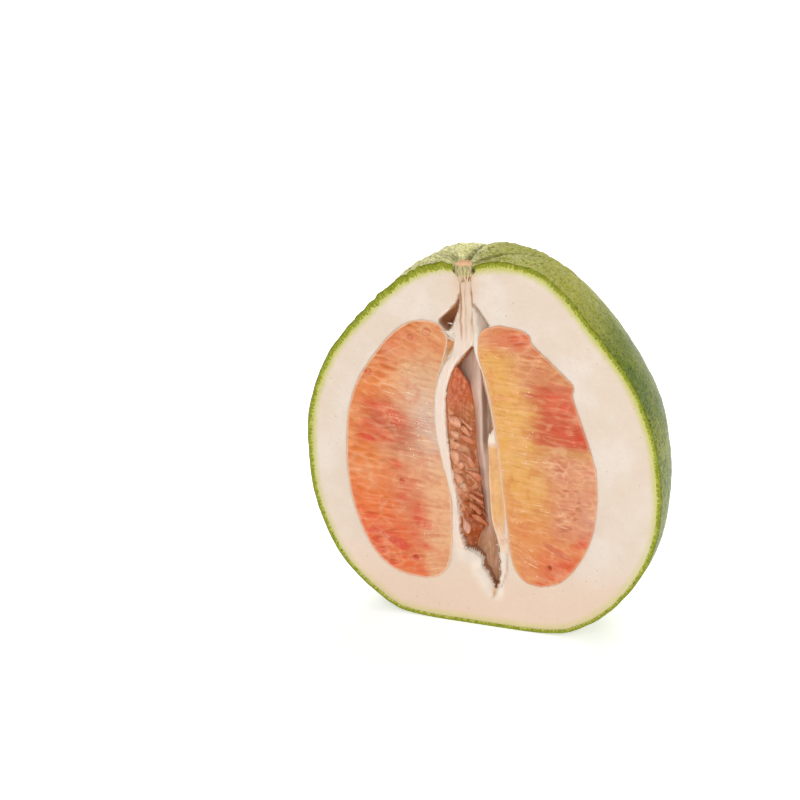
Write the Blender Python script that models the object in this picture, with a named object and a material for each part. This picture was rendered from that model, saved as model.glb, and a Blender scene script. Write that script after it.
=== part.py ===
"""Half a pomelo, cut from the stem to the base and standing on its flattened base.

Every piece is modelled in millimetres, with the cut in the plane y = 0, facing -Y, and the table at
z = 0. finish() turns each piece into metres, and stand_on_origin() centres the fruit over the origin.
The stem leans a little to -X.
"""

import math

import bmesh
import bpy
import numpy as np
from mathutils import Matrix, Vector, noise

# ---------------------------------------------------------------- driving dimensions, in millimetres
MM = 0.001
EQUATOR_RADIUS = 75.0
CENTRE_HEIGHT = 72.0
AXIS_LEAN = math.radians(5.5)  # the stem leans to -X
BASE_SWELL = 4.6  # the lower half is fuller than a ball
STEM_SEAT_RISE = 1.4
# The shoulder round the stem: its rise, how far from the stem its top is, and its width.
SHOULDER_LEFT = (6.6, math.radians(10.0), math.radians(18.5))
SHOULDER_RIGHT = (10.0, math.radians(19.0), math.radians(18.5))
SHOULDER_BACK = (9.1, math.radians(19.5), math.radians(29.0))
BACK_FULLNESS = (3.9, math.radians(44), math.radians(35))  # behind the cut: rise, and where and how wide
STEM_DIMPLE_WIDTH = math.radians(5.5)
PEEL = 2.0  # thickness of the green skin
GAP = 0.3  # between pieces that touch
CLEAR_FRONT = -3.0  # cutters come out of the cut face this far
FURROWS = (  # azimuth round the stem, depth, half width, and reach from the stem
    (math.radians(97), 5.2, 2.0, math.radians(22)),
    (math.radians(38), 1.8, 2.4, math.radians(19)),
    (math.radians(66), 1.1, 2.2, math.radians(15)),
    (math.radians(140), 2.2, 2.6, math.radians(20)),
    (math.radians(163), 1.0, 2.2, math.radians(16)),
)
BALL_GRID = (40, 26)  # faces round and down the pith and the inside of the peel
SKIN_GRID = (72, 44)
LUMP = 0.5  # the skin's slow unevenness

PULP_BULGE = 0.8  # how far the juice sacs stand out of the cut
PULP_GRID = (7, 52)
SLIVER_GRID = (2, 18)
BACK_PULP_GRID = (5, 40)
CORE_GRID = (3, 36)
RIGHT_WALL_GRID = (1, 30)
BACK_WALL_GRID = (1, 26)
HOLLOW_GRID = (6, 44)
SACS = 17  # along the height of a segment
SLIVER_SACS = 9
BACK_SACS = 13
LEFT_DEPTH = 19.0
RIGHT_DEPTH = 17.0
SLIVER_DEPTH = 6.0
BACK_SAC = 1.6  # relief of the whole, uncut sacs behind the open middle
HOLLOW_DEPTH = 25.0

# Edges of the cut segments in the cut plane, (x, z), each from the segment's lower tip to its upper tip.
LEFT_INNER = (
    (-22, 15.8), (-15.3, 18.8), (-11.9, 28), (-11.2, 41), (-13.4, 56), (-17.2, 71),
    (-19.8, 86), (-19.4, 99), (-16.6, 110), (-15.2, 118), (-17.6, 124.2), (-24, 126.6),
)
LEFT_OUTER = (
    (-22, 15.8), (-33, 16.8), (-44.5, 23.8), (-52, 37), (-57, 54), (-58.3, 72),
    (-56, 90), (-50, 104), (-41, 118), (-32.5, 124.8), (-24, 126.6),
)
RIGHT_INNER = (
    (25, 18.6), (18.6, 20.2), (14.8, 25), (12.3, 33), (11.2, 43), (9.9, 55), (8.4, 67),
    (6.5, 80), (4.2, 92), (1.6, 102), (-0.9, 111), (-1.4, 118.5), (0.6, 124.8), (7.5, 128.2),
)
RIGHT_OUTER = (
    (25, 18.6), (33, 21.8), (41, 31), (46.5, 43), (48.6, 57), (48.6, 70), (45.4, 84),
    (42.6, 93), (41.6, 101), (37.2, 108), (31, 114.5), (25, 121), (17.5, 126.6), (7.5, 128.2),
)
# The central column and the wall that it runs down into: (x, z, width), from the stem down.
CORE = (
    (-7.0, 145.0, 5.0), (-6.8, 138, 5.0), (-6.7, 129, 5.4), (-7.8, 120, 6.6), (-11.3, 112.6, 5.2),
    (-15.2, 104, 4.4), (-16.9, 94, 4.0), (-16.9, 84, 3.6), (-15.2, 73, 2.8), (-12.5, 61, 2.2),
    (-10.2, 50, 1.9), (-9.3, 40, 2.3), (-9.2, 31.5, 3.6),
)
# The thin wall of the right segment, and of the sliver beside it: (x, z), from the top down.
RIGHT_WALL = (
    (-2.9, 118.5), (-2.2, 110.5), (0.4, 101), (3.0, 91), (5.3, 79), (7.1, 66.5), (8.6, 54.5),
    (9.9, 42.5), (11.0, 33.5), (13.0, 26.5),
)
WALL_THICKNESS = 0.9
# The wall between the two segments behind the cut: (x, z, width), from the top down.
BACK_WALL = (
    (-5.6, 110, 2.4), (-5.4, 98, 1.7), (-4.9, 84, 1.4), (-3.6, 68, 1.3), (-2.0, 52, 1.4),
    (0.2, 38, 1.6), (2.6, 27, 1.8),
)
BACK_PULP_LEFT = (
    (-7.5, 36), (-11.0, 42), (-12.6, 52), (-15.4, 66), (-17.6, 80), (-17.4, 92), (-14.2, 103),
)
BACK_PULP_RIGHT = (
    (-3.4, 33), (-4.2, 42), (-5.8, 54), (-6.7, 66), (-7.3, 78), (-8.4, 90), (-10.6, 103),
)
SLIVER_INNER = ((8.2, 27.5), (6.2, 36), (4.7, 46), (3.7, 55), (3.2, 64), (3.6, 73), (4.6, 80.5))
SLIVER_OUTER = ((8.2, 27.5), (9.4, 36), (8.7, 46), (7.5, 55), (6.5, 64), (5.5, 73), (4.6, 80.5))
# The stalk and its calyx, (radius, height over the skin), from the middle of the cut end down.
STEM_PROFILE = (
    (0.0, 7.0), (2.9, 6.9), (3.8, 6.2), (3.7, 4.4), (3.6, 2.6), (3.9, 1.6), (4.5, 1.2), (4.7, 0.6),
    (3.9, -0.1), (3.2, -1.6), (0.0, -2.2),
)
CALYX_LOBES = 5
STEM_HOLE = (5.0, 8.8, 14.0)  # radius at its lower and upper end, and length
STEM_HOLE_RISE = 4.5  # its middle, above the skin
# Edges of the open middle, (x, z), from the crack at the base up to where the column fills it.
HOLLOW_LEFT = (
    (5.4, 9.5), (3.6, 17), (0.6, 26.5), (-8.5, 30.2), (-12, 36), (-12.5, 46), (-15.5, 62),
    (-18, 80), (-18, 98), (-17, 116), (-16.5, 127.5), (-11.5, 134.5), (-9.7, 140.5),
)
HOLLOW_RIGHT = (
    (5.4, 9.5), (7.6, 17), (10.2, 25), (14.4, 31), (14, 43), (11.8, 60), (8.8, 78),
    (5.5, 94), (2.0, 108), (2.0, 121), (2.2, 127.8), (-1.4, 132.2), (-4.0, 138),
)


# ---------------------------------------------------------------- curves and surfaces
def curve_through(points, samples=600):
    """A function of 0..1 that runs at an even speed along a smooth curve through the points."""
    knots = np.array(points, float)
    padded = np.vstack([2 * knots[0] - knots[1], knots, 2 * knots[-1] - knots[-2]])
    steps = np.linspace(0, len(knots) - 1, samples)
    first = np.minimum(steps.astype(int), len(knots) - 2)
    s = (steps - first)[:, None]
    a, b, c, d = (padded[first + k] for k in range(4))
    line = 0.5 * (2 * b + (c - a) * s + (2 * a - 5 * b + 4 * c - d) * s**2 + (3 * b - a - 3 * c + d) * s**3)
    stretch = np.linalg.norm(np.diff(line[:, :2], axis=0), axis=1)
    travelled = np.concatenate([[0.0], np.cumsum(stretch)])
    travelled /= travelled[-1]
    return lambda t: [float(np.interp(t, travelled, axis)) for axis in line.T]


def smooth_step(t):
    t = min(max(t, 0.0), 1.0)
    return t * t * (3 - 2 * t)


def bell(distance, width):
    return math.exp(-((distance / width) ** 2))


def skin_radius(polar, azimuth):
    """Distance from the fruit's centre to its skin. polar is the angle from the stem, and azimuth
    runs round the stem from +X."""
    to_right, to_back = (1 + math.cos(azimuth)) / 2, math.sin(azimuth) ** 2
    rise, top, width = (
        (left + (right - left) * to_right) * (1 - to_back) + back * to_back
        for left, right, back in zip(SHOULDER_LEFT, SHOULDER_RIGHT, SHOULDER_BACK)
    )
    fullness, full_at, full_width = BACK_FULLNESS
    radius = EQUATOR_RADIUS
    radius += BASE_SWELL * smooth_step((polar - math.radians(85)) / math.radians(50))
    radius += STEM_SEAT_RISE * bell(polar, math.radians(15))
    radius += rise * bell(polar - top, width) * (1 - bell(polar, STEM_DIMPLE_WIDTH))
    radius += fullness * to_back * bell(polar - full_at, full_width)
    for at, depth, half_width, reach in FURROWS:
        across = math.sin(polar) * radius * (abs(azimuth) - at)
        start = 1 - bell(polar, math.radians(4))
        radius -= depth * bell(across, half_width + 0.06 * radius * polar) * bell(polar, reach) * start
    return radius


def fruit_point(direction, inset):
    """The point below the skin by inset, in a direction from the centre given in the fruit's frame."""
    polar = math.acos(max(-1.0, min(1.0, direction.z)))
    azimuth = math.atan2(abs(direction.y), direction.x)
    lumps = LUMP * noise.noise(direction * 3.1 + Vector((4.2, 1.7, 8.8)))
    reach = skin_radius(polar, azimuth) + lumps - inset
    return Matrix.Rotation(-AXIS_LEAN, 3, "Y") @ (direction * reach) + Vector((0, 0, CENTRE_HEIGHT))


# ---------------------------------------------------------------- objects, materials and cuts
def collection(name):
    made = bpy.data.collections.new(name)
    bpy.context.scene.collection.children.link(made)
    return made


def finish(shape, name, group, material=None):
    """The bmesh, in millimetres, as an object in metres."""
    bmesh.ops.recalc_face_normals(shape, faces=shape.faces[:])
    bmesh.ops.scale(shape, vec=(MM, MM, MM), verts=shape.verts[:])
    mesh = bpy.data.meshes.new(name)
    shape.to_mesh(mesh)
    shape.free()
    mesh.shade_smooth()
    mesh.set_sharp_from_angle(angle=math.radians(40))
    made = bpy.data.objects.new(name, mesh)
    group.objects.link(made)
    if material:
        mesh.materials.append(material)
    else:
        made.hide_render = True
        made.display_type = "WIRE"
    return made


def finish_of(name, colour, roughness):
    material = bpy.data.materials.new(name)
    material.use_nodes = True
    shader = material.node_tree.nodes["Principled BSDF"]
    shader.inputs["Base Color"].default_value = (*colour, 1)
    shader.inputs["Roughness"].default_value = roughness
    shader.inputs["Metallic"].default_value = 0.0
    return material


def cut(body, *cutters):
    for cutter in cutters:
        boolean = body.modifiers.new("cut_" + cutter.name, "BOOLEAN")
        boolean.operation = "DIFFERENCE"
        boolean.solver = "EXACT"
        boolean.object = cutter


def keep_side(shape, point, normal):
    """Cuts a closed body by a plane, keeps the side that the normal points to, and closes the cut."""
    bmesh.ops.bisect_plane(
        shape,
        geom=shape.verts[:] + shape.edges[:] + shape.faces[:],
        dist=1e-4,
        plane_co=point,
        plane_no=normal,
        clear_inner=True,
    )
    rim = [edge for edge in shape.edges if edge.is_boundary]
    for vertex in {vertex for edge in rim for vertex in edge.verts}:
        vertex.co -= normal * (vertex.co - point).dot(normal)
    bmesh.ops.contextual_create(shape, geom=rim)
    return shape


def ball(around, rows, inset):
    """The whole fruit, inset below the skin and flat where it stands."""
    shape = bmesh.new()
    bmesh.ops.create_uvsphere(shape, u_segments=around, v_segments=rows, radius=1.0)
    for vertex in shape.verts:
        vertex.co = fruit_point(vertex.co.normalized(), inset)
    bmesh.ops.triangulate(shape, faces=shape.faces[:], quad_method="FIXED")
    return keep_side(shape, Vector((0, 0, inset)), Vector((0, 0, 1)))


def keep_back_half(shape):
    return keep_side(shape, Vector((0, 0, 0)), Vector((0, 1, 0)))


def slab(columns, rows, place):
    """A closed body of columns by rows quads: place(across, along, back) gives each point, with
    across and along from 0 to 1, and back 0 on the front face and 1 on the back face."""
    shape = bmesh.new()
    bmesh.ops.create_grid(shape, x_segments=columns, y_segments=rows, size=0.5)
    grown = bmesh.ops.extrude_face_region(shape, geom=shape.faces[:])
    behind = {v for v in grown["geom"] if isinstance(v, bmesh.types.BMVert)}
    for vertex in shape.verts:
        vertex.co = place(vertex.co.x + 0.5, vertex.co.y + 0.5, int(vertex in behind))
    bmesh.ops.remove_doubles(shape, verts=shape.verts[:], dist=0.02)
    return shape


def swell(shape, by, front=None):
    """Grows a closed body by a clearance, and brings its front out to y = front."""
    bmesh.ops.recalc_face_normals(shape, faces=shape.faces[:])
    shape.normal_update()
    moves = [(v, v.co + v.normal * by, v.co.y < 1.5) for v in shape.verts]
    for vertex, place, on_front in moves:
        vertex.co = place
        if on_front and front is not None:
            vertex.co.y = front
    return shape


# ---------------------------------------------------------------- the peel and the pith
def make_peel(group, cutters, material):
    made = finish(keep_back_half(ball(*SKIN_GRID, 0.0)), "peel", group, material)
    inside = finish(ball(*BALL_GRID, PEEL), "peel_inside", cutters)
    return made, inside


def make_pith(group, material):
    return finish(keep_back_half(ball(*BALL_GRID, PEEL + GAP)), "pith", group, material)


# ---------------------------------------------------------------- the segments
def sac_relief(across, along, count):
    """0 to 1: long juice sacs side by side, each reaching a little further or less than the next."""
    row = along * count + 0.6 * math.sin(across * 5.0 + along * 9.0)
    crown = abs(math.sin(math.pi * row))
    break_up = 0.5 + 0.5 * math.sin(across * 11.0 + 2.4 * math.floor(row))
    return crown * (0.45 + 0.55 * break_up)


def segment_place(inner, outer, depth, sacs):
    """Lays a slab between the two edges of a cut segment, thick at the rind and thin at the axis."""
    inner_edge, outer_edge = curve_through(inner), curve_through(outer)

    def place(across, along, back):
        (x_in, z_in), (x_out, z_out) = inner_edge(along), outer_edge(along)
        x = x_in + (x_out - x_in) * across
        z = z_in + (z_out - z_in) * across
        end = math.sqrt(max(0.0, 1 - (2 * along - 1) ** 4))
        rim = min(across, 1 - across) * 8 * end
        if not back:
            return Vector((x, -PULP_BULGE * min(1, rim) * sac_relief(across, along, sacs), z))
        round_off = math.sqrt(max(0.0, 1 - (2 * across - 1) ** 4))
        return Vector((x, 2.0 + (depth * (0.25 + 0.75 * across) - 2.0) * round_off * end, z))

    return place


def make_segment(name, edges, depth, sacs, grid, group, cutters, material):
    """The pulp of one cut segment. Returns the pocket that it needs in the pith."""
    place = segment_place(*edges, depth, sacs)
    finish(slab(*grid, place), name, group, material)
    return finish(swell(slab(*grid, place), 1.5 * GAP, front=CLEAR_FRONT), name + "_pocket", cutters)


def make_back_pulp(group, cutters, material):
    """The next segment behind the cut, with its wall torn away: bare juice sacs in the open middle.
    Returns the pocket that it needs in the pith."""
    left_edge, right_edge = curve_through(BACK_PULP_LEFT), curve_through(BACK_PULP_RIGHT)

    def place(across, along, back):
        (x_left, z_left), (x_right, z_right) = left_edge(along), right_edge(along)
        x = x_left + (x_right - x_left) * across
        z = z_left + (z_right - z_left) * across
        end = math.sqrt(max(0.0, 1 - (2 * along - 1) ** 6))
        sacs = BACK_SAC * sac_relief(across, along, BACK_SACS) * end
        y = 5.0 + 9.5 * across - sacs if not back else 20.0 + 6 * end
        return Vector((x + (1.2 * sacs * (1 - across) if not back else 0.0), y, z))

    finish(slab(*BACK_PULP_GRID, place), "pulp_back", group, material)
    return finish(swell(slab(*BACK_PULP_GRID, place), 2.5 * GAP), "pulp_back_pocket", cutters)


# ---------------------------------------------------------------- the column and the walls
def ribbon_place(course, front, back_depth, lean=0.0):
    """A wall that stands along a course in the cut plane. The course gives x, z and width."""
    line = curve_through(course)

    def place(across, along, back):
        x, z, width = line(along)
        ahead, behind = line(min(1, along + 0.01)), line(max(0, along - 0.01))
        side = Vector((ahead[1] - behind[1], 0, behind[0] - ahead[0])).normalized()
        point = Vector((x, 0, z)) + side * width * (across - 0.5)
        point.y = back_depth(along) if back else front
        point.x += lean * point.y
        return point

    return place


def make_core(group, cutters, material):
    """The column under the stem, running down into the thick wall beside the left segment, and the
    slot that holds it in the pith."""
    place = ribbon_place(CORE, 0.0, lambda along: 3.0 + 4.0 * (1 - smooth_step(3 * along)))
    made = finish(slab(*CORE_GRID, place), "core", group, material)
    return made, finish(swell(slab(*CORE_GRID, place), 1.2 * GAP, front=CLEAR_FRONT), "core_slot", cutters)


def make_right_wall(group, cutters, material):
    course = [(x, z, WALL_THICKNESS) for x, z in RIGHT_WALL]
    place = ribbon_place(course, 0.0, lambda along: 3 + 4 * math.sin(math.pi * along))
    made = finish(slab(*RIGHT_WALL_GRID, place), "wall_right", group, material)
    slot = swell(slab(*RIGHT_WALL_GRID, place), 1.2 * GAP, front=CLEAR_FRONT)
    return made, finish(slot, "wall_right_slot", cutters)


def make_back_wall(group, cutters, material):
    """The wall between the two segments behind the cut, seen on edge in the open middle. Returns the
    slot that it needs in the pith."""
    line = curve_through(BACK_WALL)

    def place(across, along, back):
        x, z, width = line(along)
        belly = math.sin(math.pi * (0.06 + 0.88 * along)) ** 0.5
        y = 15.0 + 11.0 * belly if back else 12.5 - 3.5 * belly
        return Vector((x + width * (across - 0.5) + 0.12 * (y - 10), y, z))

    finish(slab(*BACK_WALL_GRID, place), "wall_back", group, material)
    return finish(swell(slab(*BACK_WALL_GRID, place), 1.2 * GAP), "wall_back_slot", cutters)


# ---------------------------------------------------------------- the stem
def stem_foot():
    """Where the fruit's axis comes out of the skin, and the axis there."""
    axis = Matrix.Rotation(-AXIS_LEAN, 3, "Y") @ Vector((0, 0, 1))
    return Vector((0, 0, CENTRE_HEIGHT)) + axis * skin_radius(0.0, 0.0), axis


def make_stem(group, material):
    """Half of the cut stalk and of the small calyx lobes round its foot."""
    foot, axis = stem_foot()
    profile = curve_through(STEM_PROFILE)
    turn = Vector((0, 0, 1)).rotation_difference(axis).to_matrix()
    shape = bmesh.new()
    bmesh.ops.create_uvsphere(shape, u_segments=40, v_segments=12, radius=1.0)
    for vertex in shape.verts:
        direction = vertex.co.normalized()
        azimuth = math.atan2(direction.y, direction.x)
        radius, height = profile(math.acos(max(-1.0, min(1.0, direction.z))) / math.pi)
        on_calyx = min(1.0, max(0.0, 2 * (radius - 3.8))) * (height < 2)
        radius *= 1 + 0.12 * on_calyx * math.cos(CALYX_LOBES * azimuth + 0.5)
        vertex.co = foot + turn @ Vector((math.cos(azimuth) * radius, math.sin(azimuth) * radius, height))
    return finish(keep_back_half(shape), "stem", group, material)


def stem_hole(cutters):
    """The round hole through the peel and into the pith for the stem and the column."""
    foot, axis = stem_foot()
    shape = bmesh.new()
    low, high, length = STEM_HOLE
    bmesh.ops.create_cone(shape, cap_ends=True, segments=24, radius1=low, radius2=high, depth=length)
    turn = Vector((0, 0, 1)).rotation_difference(axis).to_matrix().to_4x4()
    place = Matrix.Translation(foot + axis * STEM_HOLE_RISE) @ turn
    bmesh.ops.transform(shape, matrix=place, verts=shape.verts[:])
    return finish(shape, "stem_hole", cutters)


# ---------------------------------------------------------------- the open middle
def make_hollow(cutters):
    left_edge, right_edge = curve_through(HOLLOW_LEFT), curve_through(HOLLOW_RIGHT)

    def place(across, along, back):
        (x_left, z_left), (x_right, z_right) = left_edge(along), right_edge(along)
        x = x_left + (x_right - x_left) * across
        z = z_left + (z_right - z_left) * across
        belly = math.sin(math.pi * (0.04 + 0.92 * along)) ** 0.6
        round_off = math.sqrt(max(0.0, 1 - (2 * across - 1) ** 4)) * min(1, 12 * along * (1 - along))
        return Vector((x, HOLLOW_DEPTH * belly * (0.6 + 0.4 * round_off) if back else CLEAR_FRONT, z))

    return finish(slab(*HOLLOW_GRID, place), "hollow", cutters)


# ---------------------------------------------------------------- the object
def stand_on_origin(pieces, cutters):
    """Brings the middle of the fruit's box over the origin, with its base on z = 0."""
    corners = np.array([vertex.co for piece in pieces for vertex in piece.data.vertices])
    low, high = corners.min(axis=0), corners.max(axis=0)
    shift = Matrix.Translation((-(low[0] + high[0]) / 2, -(low[1] + high[1]) / 2, -low[2]))
    for piece in [*pieces, *cutters]:
        piece.data.transform(shift)


def main():
    for thing in list(bpy.data.objects):
        bpy.data.objects.remove(thing)
    fruit, cutters = collection("half_pomelo"), collection("cutters")
    green = finish_of("green_peel", (0.16, 0.25, 0.04), 0.45)
    white = finish_of("white_pith", (0.86, 0.79, 0.70), 0.8)
    membrane = finish_of("membrane", (0.87, 0.76, 0.66), 0.5)
    coral = finish_of("coral_pulp", (0.80, 0.33, 0.16), 0.3)
    gold = finish_of("gold_pulp", (0.83, 0.50, 0.20), 0.3)
    bark = finish_of("stem_bark", (0.36, 0.28, 0.16), 0.8)

    peel, peel_inside = make_peel(fruit, cutters, green)
    pith = make_pith(fruit, white)
    left_pocket = make_segment(
        "pulp_left", (LEFT_INNER, LEFT_OUTER), LEFT_DEPTH, SACS, PULP_GRID, fruit, cutters, coral
    )
    right_pocket = make_segment(
        "pulp_right", (RIGHT_INNER, RIGHT_OUTER), RIGHT_DEPTH, SACS, PULP_GRID, fruit, cutters, coral
    )
    sliver_edges = (SLIVER_INNER, SLIVER_OUTER)
    sliver_pocket = make_segment(
        "pulp_sliver", sliver_edges, SLIVER_DEPTH, SLIVER_SACS, SLIVER_GRID, fruit, cutters, gold
    )
    back_pocket = make_back_pulp(fruit, cutters, coral)
    core, core_slot = make_core(fruit, cutters, membrane)
    right_wall, right_wall_slot = make_right_wall(fruit, cutters, membrane)
    back_wall_slot = make_back_wall(fruit, cutters, membrane)
    make_stem(fruit, bark)

    hole, hollow = stem_hole(cutters), make_hollow(cutters)
    cut(pith, left_pocket, right_pocket, hollow, core_slot, right_wall_slot)
    cut(pith, back_pocket, back_wall_slot, hole)
    cut(peel, peel_inside, hole)
    cut(core, left_pocket)
    cut(right_wall, right_pocket, sliver_pocket)
    stand_on_origin(fruit.objects, cutters.objects)


main()
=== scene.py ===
# %% [markdown]
# # Half a pomelo, standing on its base
#
# The fruit is cut from the stalk to the base, so one view shows everything that it is made of: a green
# oily skin, a thick white pith, two cut segments full of juice sacs, the dry column under the stalk, and
# the open middle with the next segment behind it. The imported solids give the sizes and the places. This
# file models the surfaces that the eye sees, piece by piece, and paints them with shader nodes.

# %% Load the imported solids
import math
from types import SimpleNamespace

import bmesh
import bpy
import numpy as np
from mathutils import Matrix, Vector, noise
from mathutils.kdtree import KDTree


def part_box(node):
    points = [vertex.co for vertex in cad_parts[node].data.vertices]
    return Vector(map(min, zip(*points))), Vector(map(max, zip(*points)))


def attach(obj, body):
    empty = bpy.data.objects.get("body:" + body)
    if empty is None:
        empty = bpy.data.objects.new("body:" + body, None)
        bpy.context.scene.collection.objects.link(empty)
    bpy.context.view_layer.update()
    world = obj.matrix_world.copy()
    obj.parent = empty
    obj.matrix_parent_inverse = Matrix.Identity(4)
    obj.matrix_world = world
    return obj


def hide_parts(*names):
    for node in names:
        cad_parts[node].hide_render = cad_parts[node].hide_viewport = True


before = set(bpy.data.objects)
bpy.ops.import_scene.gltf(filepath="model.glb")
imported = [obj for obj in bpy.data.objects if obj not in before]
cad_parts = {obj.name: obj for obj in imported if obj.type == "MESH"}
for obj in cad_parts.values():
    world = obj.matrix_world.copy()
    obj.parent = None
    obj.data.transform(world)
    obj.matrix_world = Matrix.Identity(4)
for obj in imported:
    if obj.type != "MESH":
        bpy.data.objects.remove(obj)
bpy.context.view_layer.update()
print("solids:", ", ".join(sorted(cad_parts)))

# %% [markdown]
# ## One frame for every piece
#
# All shapes below are written in millimetres, in the fruit's own frame: x to the right of the foot of
# the stalk's axis, y backwards from the cut, z up from the table. Written like that, the numbers are the
# ones a ruler would give. One function carries them into the frame of the solids, so nothing is fitted
# by eye.

# %% The fruit's frame
MM = 0.001
FRUIT_MIDDLE = 0.5  # the middle of the peel's box, to the right of the foot of the axis

peel_low, peel_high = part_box("peel")
pith_low, pith_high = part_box("pith")
ORIGIN = Vector(((peel_low.x + peel_high.x) / 2 - FRUIT_MIDDLE * MM, pith_low.y, peel_low.z))


def in_row(points):
    """Points in millimetres in the fruit's frame, as metres in the frame of the solids."""
    return np.asarray(points, float) * MM + np.array(ORIGIN)


print("foot of the axis:", [round(c * 1000, 2) for c in ORIGIN], "mm")

# %% [markdown]
# ## Curves, noise and cells
#
# A few small tools do most of the drawing. A curve through a few points gives an outline. Smooth noise
# bends and spots a surface. Cells, each point belonging to its nearest seed, are how juice sacs pack.
# They work on whole arrays of points, because a mesh here has tens of thousands of them.

# %% Curves through points


def unit(rows):
    """Each row, or a single one, with a length of one."""
    return rows / np.linalg.norm(rows, axis=-1, keepdims=True)


def lengths(rows):
    return np.linalg.norm(rows, axis=1)


def travel(line):
    """How far along a line each of its points comes."""
    return np.concatenate([[0], np.cumsum(lengths(np.diff(line, axis=0)))])


def curve_through(points, samples=1200):
    """A function of 0..1 that runs at an even speed along a smooth curve through the points."""
    knots = np.array(points, float)
    padded = np.vstack([2 * knots[0] - knots[1], knots, 2 * knots[-1] - knots[-2]])
    steps = np.linspace(0, len(knots) - 1, samples)
    first = np.minimum(steps.astype(int), len(knots) - 2)
    s = (steps - first)[:, None]
    a, b, c, d = (padded[first + k] for k in range(4))
    line = 0.5 * (2 * b + (c - a) * s + (2 * a - 5 * b + 4 * c - d) * s**2 + (3 * b - a - 3 * c + d) * s**3)
    travelled = travel(line[:, :2])
    travelled /= travelled[-1]
    return lambda t: np.stack([np.interp(t, travelled, axis) for axis in line.T], axis=-1)


def ease(low, high, value):
    """0 at low and before, 1 at high and after, and an S-shaped rise between them."""
    t = np.clip((value - low) / (high - low), 0, 1)
    return t * t * (3 - 2 * t)


def bell(distance, width):
    """1 where distance is nought, fading to both sides over the width."""
    return np.exp(-((distance / width) ** 2))


def join(*columns):
    """Columns side by side, one row for each point. A plain number fills its whole column."""
    return np.stack(np.broadcast_arrays(*columns), axis=1)


# %% Smooth noise and cells


def soft_noise(points, size, seed=0):
    """Noise from -1 to 1 that changes over about that many millimetres. points is (n, 3) or (n, 2)."""
    cell = np.asarray(points, float) / size
    base = np.floor(cell)
    part = cell - base
    part = part * part * (3 - 2 * part)
    total = np.zeros(len(cell))
    for corner in np.ndindex(*(2,) * cell.shape[1]):
        corner = np.array(corner)
        mixed = (base + corner) @ np.array([127.1, 311.7, 74.7])[: cell.shape[1]] + 17.31 * seed
        value = (np.sin(mixed) * 43758.5453) % 1
        total += (2 * value - 1) * np.prod(np.where(corner, part, 1 - part), axis=1)
    return total


def layered_noise(points, size, seed=0, layers=3):
    return sum(soft_noise(points, size / 2**k, seed + k) / 2**k for k in range(layers)) / 1.75


def tree_of(points):
    """A search tree that finds the nearest of many flat points quickly."""
    tree = KDTree(len(points))
    for number, (x, y) in enumerate(points.tolist()):
        tree.insert((x, y, 0), number)
    tree.balance()
    return tree


def cells(points, seeds):
    """For each point: the number of its nearest seed, and how far its cell's edge is."""
    tree = tree_of(seeds)
    pairs = [tree.find_n((x, y, 0), 2) for x, y in points.tolist()]
    nearest = np.array([pair[0][1] for pair in pairs])
    first = np.array([pair[0][2] for pair in pairs])
    second = np.array([pair[1][2] for pair in pairs])
    return nearest, (second - first) / 2


print("noise check:", np.round(soft_noise(np.array([[1.2, 3.4, 5.6]]), 2), 3))

# %% [markdown]
# ## Finishing a piece
#
# A new mesh starts as a bmesh grid or ball, is bent by formulas, and ends here: it becomes an object in
# the frame of the solids, rides on the fruit's one body, and takes the place of the solid that it details.

# %% From shape to finished piece


def take_points(shape):
    return np.array([vertex.co[:] for vertex in shape.verts])


def put_points(shape, points):
    for vertex, point in zip(shape.verts, points):
        vertex.co = point


def new_grid(columns, rows):
    """A flat grid, one unit wide and high, with its middle at the origin."""
    shape = bmesh.new()
    bmesh.ops.create_grid(shape, x_segments=columns, y_segments=rows, size=0.5)
    return shape


def vertices_of(grown):
    return [part for part in grown["geom"] if isinstance(part, bmesh.types.BMVert)]


def thicken(shape):
    """Doubles a sheet into a slab, and gives the vertices of its new side."""
    return vertices_of(bmesh.ops.extrude_face_region(shape, geom=shape.faces[:]))


def face_outwards(shape):
    bmesh.ops.recalc_face_normals(shape, faces=shape.faces[:])


def finish(shape, name, node, material, attributes=None):
    """A bmesh in millimetres becomes a smooth object that rides on the fruit and stands for a solid."""
    mesh = bpy.data.meshes.new(name)
    shape.to_mesh(mesh)
    shape.free()
    points = np.empty(len(mesh.vertices) * 3)
    mesh.vertices.foreach_get("co", points)
    mesh.vertices.foreach_set("co", in_row(points.reshape(-1, 3)).ravel())
    for label, values in (attributes or {}).items():
        values = np.asarray(values, float)
        if values.ndim == 1:
            mesh.attributes.new(label, "FLOAT", "POINT").data.foreach_set("value", values)
        else:
            mesh.attributes.new(label, "FLOAT_VECTOR", "POINT").data.foreach_set("vector", values.ravel())
    mesh.materials.append(material)
    mesh.shade_smooth()
    mesh.update()
    piece = bpy.data.objects.new(name, mesh)
    bpy.context.scene.collection.objects.link(piece)
    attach(piece, "root")
    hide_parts(node)
    print(f"{name}: {len(mesh.polygons)} faces, stands for {node}")


# %% [markdown]
# ## Shader nodes in one line each
#
# A material is a small graph. These helpers keep each one short: a node is made with its settings, its
# inputs are numbers or other nodes' outputs, and the result is passed on.

# %% Helpers for materials


def colour(red, green, blue):
    """A colour as a paint chart gives it, 0 to 255, as the linear light that shaders mix."""
    part = np.array((red, green, blue)) / 255
    return tuple(float(c) for c in np.where(part <= 0.04045, part / 12.92, ((part + 0.055) / 1.055) ** 2.4))


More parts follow.
